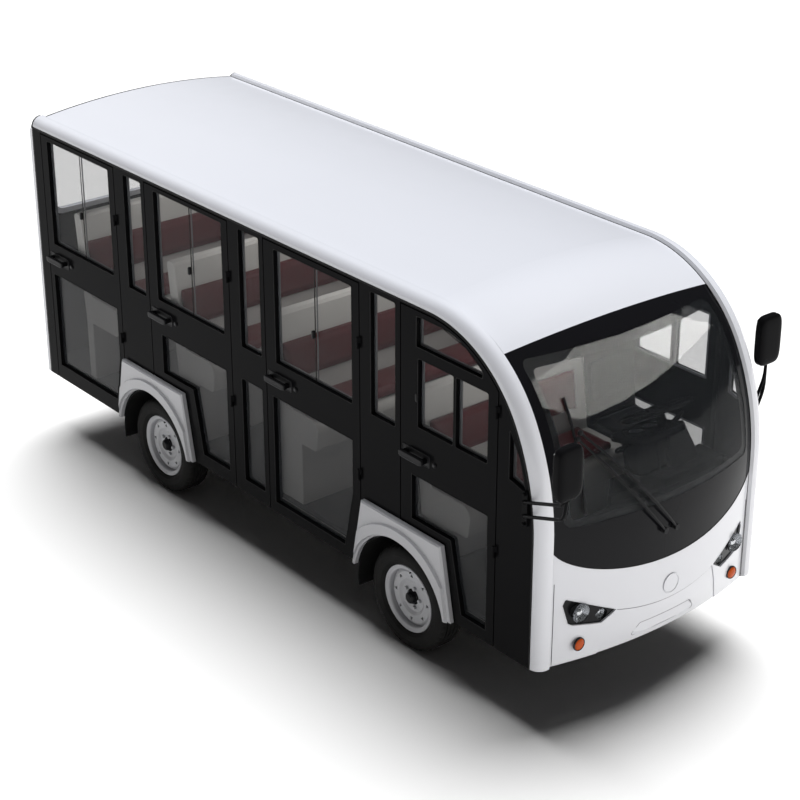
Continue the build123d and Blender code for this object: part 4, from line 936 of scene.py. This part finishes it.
def add_screen_border():
    """Dark border on the inside of the windscreen."""
    corners = box_corners(-SCREEN_HALF, SCREEN_HALF, SCREEN_LOW, SCREEN_HIGH)
    outer = dense(rounded(inset(corners, -6), 44), 30)
    middle = (SCREEN_LOW + SCREEN_HIGH) / 2
    share_y = 1 - BORDER_W / SCREEN_HALF
    share_z = 1 - 2 * BORDER_W / (SCREEN_HIGH - SCREEN_LOW)
    inner = [(p.x * share_y, middle + (p.y - middle) * share_z) for p in outer]
    shape = Shape()
    ring(shape, outer, inner, front_lay, 6.5, 7.5)
    shape.piece("screen_border", SCREEN_BORDER)


add_screen_border()

# Lamps, indicators and emblem ring; lamp radii are shares of the lamp's own radius
EMBLEM_Z = 624
EMBLEM_R = 50
LAMPS = [(527, 626, 40), (404, 582, 29)]
LAMP_SIZE = 1.24
LAMP_LIFT = 0.007
LAMP_TURN = Vector((0.5, 0, 0))
LAMP_POCKET = [(331, 589), (598, 708), (610, 676), (582, 574), (560, 560), (410, 538)]
BOWL = [
    (0, -0.02), (0.35, -0.019), (0.52, -0.015), (0.66, -0.008), (0.8, -0.006),
    (0.9, -0.002), (0.97, 0.001), (1, -0.002), (1, -0.008),
]
BULB = [(0, -0.006), (0.22, -0.0075), (0.36, -0.013), (0.4, -0.022), (0.4, -0.028)]
LENS = [
    (0, 0.0052), (0.4, 0.0045), (0.75, 0.0025), (0.95, -0.0005), (0.93, -0.003), (0.7, 0),
    (0.4, 0.002), (0, 0.0028),
]
FLUTE_SHARE = 0.045
FLUTED_FROM = 0.012
INDICATOR = (526, 452)
INDICATOR_SUNK = 0.0045
INDICATOR_RIM = [
    (0.0305, 0.005), (0.0315, 0.0065), (0.033, 0.0062), (0.0345, 0.003), (0.0345, -0.004),
    (0.0305, -0.004),
]
INDICATOR_LENS = [
    (0, 0.0125), (0.01, 0.012), (0.02, 0.0098), (0.028, 0.006), (0.0308, 0.003), (0.0308, -0.003),
]


def fluted(k, r, _):
    """Facets of a lamp reflector or lens: every third step drawn in."""
    return r * (1 - FLUTE_SHARE) if r > FLUTED_FROM and k % 3 == 0 else r


def add_front_lamps():
    """Reflector, bulb and lens of every front lamp, the bezels and the indicators."""
    bowl, lens, bulb, amber, bezel, rim = (Shape() for _ in range(6))
    parts = ((bowl, BOWL, 48, fluted), (bulb, BULB, 32, None), (lens, LENS, 48, None))
    outline = dense(rounded(inset(LAMP_POCKET, -3), 16), 14)
    for side in SIDES:
        for y, z, r in LAMPS:
            place, normal = front_at(side * y, z)
            normal = (normal + LAMP_TURN).normalized()
            size = LAMP_SIZE * r / 1000
            for shape, shares, steps, wobble in parts:
                profile = [(size * share, d) for share, d in shares]
                lathe(shape, profile, place + normal * LAMP_LIFT, normal, steps, wobble=wobble)
        rod(bezel, [front_lay(side * p.x, p.y, 0.4) for p in outline], SEAM_R, 8, closed=True)
        place, normal = front_at(side * INDICATOR[0], INDICATOR[1])
        root = place - normal * INDICATOR_SUNK
        lathe(rim, INDICATOR_RIM, root, normal, 40, closed=True)
        lathe(amber, INDICATOR_LENS, root, normal, 40, wobble=fluted)
    made = [
        bowl.piece("lamp_reflectors", LAMP_BOWL), lens.piece("lamp_lenses", LAMP_GLASS),
        bulb.piece("lamp_bulbs", CHROME),
    ]
    for one in made[:2]:
        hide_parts("headlamps")
    turning = amber.piece("indicator_lenses", AMBER_LENS)
    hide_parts("indicators")
    bezel.piece("lamp_bezels", WHITE_PAINT)
    rim.piece("indicator_rims", DARK_STEEL)


def add_emblem_ring():
    """Raised white ring round the bare disc on the fascia."""
    shape = Shape()
    spots = [(EMBLEM_R * math.cos(a), EMBLEM_Z + EMBLEM_R * math.sin(a)) for a in full_turn(48)]
    rod(shape, [front_lay(y, z, -0.4) for y, z in spots], 0.0034, 10, closed=True)
    shape.piece("emblem_ring", WHITE_PAINT)


add_front_lamps()
add_emblem_ring()

# Mirrors: pillow heads on paired tubes; side, bend of the tubes, middle of the head
MIRROR_ROOT = (4285, 764, 1190)
MIRRORS = [(-1, (4630, 850, 1345), (4645, 850, 1548)), (1, (4277, 850, 1345), (4277, 850, 1579))]
HEAD_HALF = (0.03, 0.075, 0.131)
MIRROR_GLASS = box_corners(-0.058, 0.058, -0.112, 0.112)
TUBE_APART = 36
BOLT_APART = 76
BOLT = [(0, 0.024), (0.007, 0.024), (0.0095, 0.021), (0.0095, 0.008)]


def add_mirror_tubes(tubes, side, bend, head):
    """Both tubes of a mirror, their foot on the wall and its bolts."""
    x, y, z = MIRROR_ROOT
    for up in (-1, 1):
        lift = up * TUBE_APART
        run = [
            at(x, side * (y - 12), z + lift),
            at(x, side * y, z + lift),
            at(bend[0], side * bend[1], bend[2] + lift),
            at(head[0], side * head[1], head[2] - 100 + 40 * up),
        ]
        rod(tubes, bent(run, 0.045), 0.0085, 14)
    foot = rounded(box_corners(x - 18, x + 18, z - 90, z + 90), 9)
    slab(tubes, foot, side_lay(side), -12, 0)
    for lift in (-TUBE_APART, -BOLT_APART, TUBE_APART, BOLT_APART):
        lathe(tubes, BOLT, at(x, side * HALF_WIDTH, z + lift), Vector((0, side, 0)), 20)


def add_mirrors():
    """Mirror heads, glasses, tubes and their feet."""
    housing, silver, tubes = Shape(), Shape(), Shape()
    outline = rounded(MIRROR_GLASS, 0.022, 8)
    for side, bend, head in MIRRORS:
        centre = at(head[0], side * head[1], head[2])
        pillow(housing, centre, HEAD_HALF, power=0.42, steps=32)
        back = centre - Vector((HEAD_HALF[0] + 0.0002, 0, 0))
        slab(silver, outline, lambda y, z, d, back=back: back + Vector((d, y, z)), 0, 0.006)
        add_mirror_tubes(tubes, side, bend, head)
    made = [
        housing.piece("mirror_heads", MIRROR_BLACK), silver.piece("mirror_glasses", MIRROR_SILVER),
        tubes.piece("mirror_arms", MIRROR_BLACK),
    ]
    for one in made:
        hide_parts("mirrors")


add_mirrors()

# Wheels: treaded tyres, hub caps, nuts and valves
TYRE_R = 280
TREAD_STEPS = 132
GROOVES = (-37, -13, 13, 37)
GROOVE_HALF = 3.5
GROOVE_DEEP = 7
TREAD_FROM = 0.27
SHOULDER_FROM = 0.044
SHOULDER_CUT = 0.0055
RIB_HALF = 0.01
RIB_CUT = 0.003
TYRE_SIDE = [
    (TYRE_R, 52), (TYRE_R - 1.5, 60), (TYRE_R - 7, 68), (262, 75), (250, 79.5),
    (238, 81.8), (234, 82.4), (232, 81), (222, 81.2), (206, 77), (203, 77.4),
    (200, 75), (190, 68.5), (185.5, 64), (183, 56.5), (166, 56.5),
]
HUB_CAP = [
    (0, 0.062), (0.02, 0.061), (0.029, 0.056), (0.034, 0.047), (0.0355, 0.038),
    (0.042, 0.0335), (0.043, 0.0305), (0, 0.0305),
]
NUT = [(0, 0.0425), (0.005, 0.042), (0.008, 0.04), (0.0083, 0.0325), (0.01, 0.0318), (0.01, 0.0302)]
NUTS = 5
NUT_CIRCLE_R = 0.057
VALVE_AT = (0.03, 0.147)


def tyre_profile():
    """Section of the tyre: radius and distance outboard, in metres."""
    tread = []
    edge = GROOVE_HALF - 1
    for groove in GROOVES:
        for step, deep in ((-GROOVE_HALF, 0), (-edge, GROOVE_DEEP), (edge, GROOVE_DEEP)):
            tread.append((TYRE_R - deep, groove + step))
        tread.append((TYRE_R, groove + GROOVE_HALF))
    inboard = [(r, -d) for r, d in reversed(TYRE_SIDE)]
    return [(r / 1000, d / 1000) for r, d in inboard + tread + TYRE_SIDE]


def lug(k, r, d):
    """Shoulder blocks and cross cuts of the tread."""
    if r < TREAD_FROM:
        return r
    if abs(d) > SHOULDER_FROM and k % 3 == 0:
        return r - SHOULDER_CUT
    if abs(d) < RIB_HALF and k % 6 == 0:
        return r - RIB_CUT
    return r


def add_wheel(wheel, centre, side):
    """Tyre, nuts, hub cap and valve of one wheel."""
    body = "wheel_" + wheel
    out = Vector((0, side, 0))
    tyre, nuts, hub, valve = (Shape() for _ in range(4))
    lathe(tyre, tyre_profile(), centre, out, TREAD_STEPS, closed=True, wobble=lug)
    made = tyre.piece("treaded_tyre_" + wheel, TYRE_RUBBER, body, 28)
    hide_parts("tyre_" + wheel)
    for a in full_turn(NUTS):
        spot = centre + Vector((math.cos(a), 0, math.sin(a))) * NUT_CIRCLE_R
        lathe(nuts, NUT, spot, out, 6)
    lathe(hub, HUB_CAP, centre, out, 40)
    root = centre + Vector((0, side * VALVE_AT[0], VALVE_AT[1]))
    rod(valve, [root, root + Vector((0, side * 0.024, -0.002))], 0.0042, 10)
    nuts.piece("wheel_nuts_" + wheel, LINER_GREY, body, 25)
    hub.piece("hub_cap_" + wheel, GLOSS_PLASTIC, body, 25)
    valve.piece("valve_" + wheel, RUBBER, body)


for axle, axle_x in AXLES.items():
    for y_sign, hand_name in SIDES.items():
        add_wheel(axle + "_" + hand_name, at(axle_x, y_sign * WHEEL_Y, AXLE_Z), y_sign)

# Seats: front face of the back pad, right and left end of the pads
BENCHES = [
    ("fourth", 435, -688, 688),
    ("third", 1413, -688, 688),
    ("second", 2348, -688, 688),
    ("passenger", 3538, -688, 273),
    ("driver", 3538, 387, 688),
]
BACK_SLOPE = 0.134
PAD_T = 22
PAD_LOW_Z = 1107
PAD_HIGH_Z = 1330
PAN_TOP = 985
CUSHION_L = 262
CUSHION_T = 0.042
BACK_T = 0.024
PAD_STEP = 0.013
PAD_LAYERS = 4
SWELL = 0.007
PRESSURE = 4
PUFF_FRAMES = 20
BORDER_SEAM = 0.024
SEAM_DEEP = 0.0035
SEAM_WIDE = 0.01


def pad_mesh(name, size):
    """Block of small squares, with rounded edges."""
    length, depth, height = size
    extent = (depth, length, height)
    cuts = [round(depth / PAD_STEP) - 1, round(length / PAD_STEP) - 1, PAD_LAYERS - 1]
    work = bmesh.new()
    bmesh.ops.create_cube(work, size=1.0)
    for axis, count in enumerate(cuts):
        along = [e for e in work.edges if abs((e.verts[0].co - e.verts[1].co)[axis]) > 0.5]
        bmesh.ops.subdivide_edges(work, edges=along, cuts=count, use_grid_fill=True)
    radius = min(0.018, height * 0.38)
    half = Vector(extent) / 2
    for v in work.verts:
        p = Vector([c * s for c, s in zip(v.co, extent)])
        core = Vector([max(-h + radius, min(h - radius, c)) for c, h in zip(p, half)])
        away = p - core
        v.co = core + away.normalized() * radius if away.length > radius else p
    mesh = bpy.data.meshes.new(name)
    work.to_mesh(mesh)
    work.free()
    return mesh


def puff(mesh, held_below, most):
    """Blows a pad up a little as cloth under pressure, held at its underside."""
    scene = bpy.context.scene
    pad = bpy.data.objects.new("pad_being_stuffed", mesh)
    scene.collection.objects.link(pad)
    rest = [v.co.copy() for v in mesh.vertices]
    held = pad.vertex_groups.new(name="held")
    held.add([i for i, co in enumerate(rest) if co.z < held_below], 1.0, "REPLACE")
    cloth = pad.modifiers.new("stuffing", "CLOTH")
    cloth.settings.use_pressure = True
    cloth.settings.uniform_pressure_force = PRESSURE
    cloth.settings.effector_weights.gravity = 0
    cloth.settings.vertex_group_mass = "held"
    cloth.point_cache.frame_start = 1
    cloth.point_cache.frame_end = PUFF_FRAMES
    for number in range(1, PUFF_FRAMES + 1):
        scene.frame_set(number)
    grown = pad.evaluated_get(bpy.context.evaluated_depsgraph_get())
    moved = [v.co.copy() for v in grown.data.vertices]
    pad.modifiers.remove(cloth)
    for vertex, a, b in zip(mesh.vertices, rest, moved):
        step = b - a
        if step.length > most:
            step *= most / step.length
        vertex.co = a + step
    bpy.data.objects.remove(pad)
    scene.frame_set(1)


def sew(mesh, size, seams):
    """Presses sewn lines into the top of a pad: a border seam and cross seams."""
    length, depth, _ = size
    for vertex in mesh.vertices:
        p = vertex.co
        if p.z < 0:
            continue
        edge = min(depth / 2 - BORDER_SEAM - abs(p.x), length / 2 - BORDER_SEAM - abs(p.y))
        nearest = abs(edge)
        if edge > 0:
            nearest = min([nearest] + [abs(p.y - y) for y in seams])
        if nearest < SEAM_WIDE:
            vertex.co.z -= SEAM_DEEP * (1 - nearest / SEAM_WIDE) ** 0.6


def stuffed_pad(name, size, seams):
    """A pad's mesh in its own place: simulated and sewn."""
    mesh = pad_mesh(name, size)
    puff(mesh, -size[2] * 0.2, SWELL)
    sew(mesh, size, seams)
    return mesh


def pad_pair(length):
    """Meshes of the cushion and the back pad of a bench of this length, in metres."""
    count = 3 if length > 1.2 else (2 if length > 0.6 else 1)
    seams = [length * (k / count - 0.5) for k in range(1, count)]
    back_h = (PAD_HIGH_Z - PAD_LOW_Z - 10) / 1000
    cushion = (length - 0.012, (CUSHION_L - 10) / 1000, CUSHION_T)
    return (
        stuffed_pad("cushion_form", cushion, seams),
        stuffed_pad("back_form", (length - 0.01, back_h, BACK_T), seams),
    )


def add_pads():
    """Seat cushions and back pads of every bench."""
    forms = {}
    made = {"seat_cushions": [], "seat_backs": []}
    lean = Matrix.Rotation(math.pi / 2 - math.atan(BACK_SLOPE), 4, "Y")
    for bench, start, right, left in BENCHES:
        length = (left - right) / 1000
        middle = (left + right) / 2
        key = round(length, 3)
        if key not in forms:
            forms[key] = pad_pair(length)
        cushion, upright = (form.copy() for form in forms[key])
        foot = start - PAD_T + BACK_SLOPE * (PAD_HIGH_Z - PAN_TOP)
        low = at(foot + 8 + CUSHION_L / 2, middle, PAN_TOP + 0.4 + 21.5)
        cushion.transform(Matrix.Translation(low))
        centre_z = (PAD_LOW_Z + PAD_HIGH_Z) / 2
        centre_x = start - PAD_T + BACK_SLOPE * (PAD_HIGH_Z - centre_z) + 0.6 + 12
        upright.transform(Matrix.Translation(at(centre_x, middle, centre_z)) @ lean)
        for kind, mesh in (("seat_cushions", cushion), ("seat_backs", upright)):
            label = ("cushion_" if kind == "seat_cushions" else "back_pad_") + bench
            cover = DRIVER_VINYL if bench == "driver" else SEAT_VINYL
            pad = piece(label, mesh, cover, "body", 60)
            smooth = pad.modifiers.new("finer", "SUBSURF")
            smooth.levels = smooth.render_levels = 1
            made[kind].append(pad)
    for kind, pads in made.items():
        for pad in pads:
            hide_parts(kind)


add_pads()

# Driver's place: dial panel, column pod, stalks, dash hood, vents and pedals
STEER = (3980, 420, 1215)
TILT = math.radians(30)
DIAL_PANEL = (4030, 300, 1150)
PANEL_LEAN = Matrix.Rotation(math.radians(-14), 3, "Y")
DIALS = [(-10, -70, 0.04), (-10, 25, 0.04), (-20, 95, 0.022)]
DIAL_MARKS = 9
SWITCHES = 4
COLUMN_POD = (4062, 270, 1060)
POD_NOSE = 74
STALKS = [(-1, 0.085, 0), (1, 0.13, 0.07)]
HOOD_HALF = 620
VENTS_Y = (-430, -180, 90)
VENT_SLATS = 5
PEDALS = [(330, 0.03), (420, 0.03), (500, 0.022)]
PEDAL_LEAN = Matrix.Rotation(math.radians(35), 3, "Y")


def add_dials(dark):
    """Rims of the dials, and their faces and marks as pieces of their own."""
    dials, marks = Shape(), Shape()
    up = PANEL_LEAN @ Vector((0, 0, 1))
    first, second = basis(up)
    x, y, z = DIAL_PANEL
    for forward, left, r in DIALS:
        spot = at(x, y + left, z) + PANEL_LEAN @ Vector((forward / 1000, 0, 0.019))
        rim = [(r + 0.005, 0), (r + 0.005, 0.006), (r, 0.008), (r, 0)]
        lathe(dark, rim, spot, up, 32, closed=True)
        lathe(dials, [(0, 0.003), (r, 0.003), (r, 0)], spot, up, 32)
        for k in range(DIAL_MARKS):
            a = math.radians(-30 + 30 * k)
            out = (first * math.cos(a) + second * math.sin(a)) * r
            rod(marks, [spot + up * 0.004 + out * share for share in (0.78, 0.92)], 0.0009, 6)
    return dials, marks


def add_column(dark):
    """Hub of the steering wheel, dial panel with its switches, column pod and stalks."""
    axis = Vector((-math.sin(TILT), 0, math.cos(TILT)))
    tilt = Matrix.Rotation(-TILT, 3, "Y")
    pillow(dark, at(*STEER) + axis * 0.01, (0.052, 0.052, 0.018), tilt, 0.6, 16)
    pillow(dark, at(*DIAL_PANEL), (0.118, 0.165, 0.02), PANEL_LEAN, 0.25, 24)
    x, y, z = COLUMN_POD
    pillow(dark, at(x, y, z), (0.07, 0.122, 0.098), PANEL_LEAN, 0.42, 24)
    pillow(dark, at(x + POD_NOSE, y, z), (0.006, 0.004, 0.085), PANEL_LEAN, 0.4, 12)
    for k in range(SWITCHES):
        place = at(*DIAL_PANEL) + PANEL_LEAN @ Vector((0.08, -0.11 + 0.05 * k, 0.021))
        pillow(dark, place, (0.011, 0.017, 0.006), PANEL_LEAN, 0.35, 10)
    for side, reach, rise in STALKS:
        root = at(x - 5, y + side * 112, z + 72)
        tip = root + Vector((0, side * reach, rise))
        rod(dark, bent([root, root + Vector((0, side * 0.03, 0.004)), tip], 0.02), 0.006, 10)
        grip = (root + tip) / 2 + (tip - root) * 0.25
        along = (tip - root).to_track_quat("Y", "Z").to_matrix()
        pillow(dark, grip, (0.011, 0.048, 0.013), along, 0.6, 14)


def add_dash(dark):
    """Hood along the screen, slats of the vents and pedals."""
    hood = []
    for k in range(25):
        y = HOOD_HALF * (k / 12 - 1)
        hood.append(at(4318 + 92 * (1 - (y / INNER_Y) ** 2), y, 956))
    rod(dark, hood, 0.014, 10, flat=0.7)
    for y in VENTS_Y:
        for k in range(VENT_SLATS):
            slat = at(4246 + 15 * k, y, 951.5)
            pillow(dark, slat, (0.0035, 0.07, 0.004), power=0.4, steps=8)
    for y, wide in PEDALS:
        pillow(dark, at(4222, y, 580), (0.008, wide, 0.045), PEDAL_LEAN, 0.4, 12)
        rod(dark, [at(4229, y, 595), at(4262, y, 710), at(4255, y, 838)], 0.006, 8)


def add_driver_place():
    """The driver's controls in black plastic, with the dials and their marks."""
    dark = Shape()
    add_column(dark)
    dials, marks = add_dials(dark)
    add_dash(dark)
    dark.piece("driver_controls", GLOSS_PLASTIC)
    dials.piece("dials", DIAL_FACE)
    marks.piece("dial_marks", DIAL_MARK)


add_driver_place()


# Seals behind the gaps round the doors, on the body
def add_door_seals():
    """Rubber strips on the inside of the walls that close the gaps round the doors."""
    shape = Shape()
    for side in SIDES:
        for name in LEAVES[side]:
            outer = rounded(inset(DOORS[name], -18), 8, 3)
            inner = rounded(inset(DOORS[name], 10), 5, 3)
            ring(shape, outer, inner, side_lay(side), 37, 42)
    shape.piece("door_seals", RUBBER)


add_door_seals()

# Inner linings of the wheel arches behind the wheels
LINING_R = 345
LINING_T = 4
LINING_TURNS = range(118, 191, 4)
LINING_OUT = 746
LINING_IN = 500


def add_arch_linings():
    """Curved rubber linings behind the wheels, from the deck down."""
    shape = Shape()
    turns = [math.radians(a) for a in LINING_TURNS]
    for x in AXLES.values():
        outline = []
        for radius, run in ((LINING_R, turns), (LINING_R + LINING_T, turns[::-1])):
            outline.extend((x + radius * math.cos(a), AXLE_Z + radius * math.sin(a)) for a in run)
        for side in SIDES:
            slab(shape, outline, side_lay(side), HALF_WIDTH - LINING_OUT, HALF_WIDTH - LINING_IN)
    shape.piece("arch_linings", RUBBER)


add_arch_linings()

FLOOR_HALF = 300


def add_floor():
    """Plain pale studio floor."""
    mesh = bpy.data.meshes.new("studio_floor")
    corners = box_corners(-FLOOR_HALF, FLOOR_HALF, -FLOOR_HALF, FLOOR_HALF)
    mesh.from_pydata([(x, y, 0) for x, y in corners], [], [(0, 1, 2, 3)])
    mesh.materials.append(STUDIO_FLOOR)
    floor = bpy.data.objects.new("studio_floor", mesh)
    bpy.context.collection.objects.link(floor)
    return floor


keep_light_apart(soft_boxes, add_floor(), nodes["windscreen"])
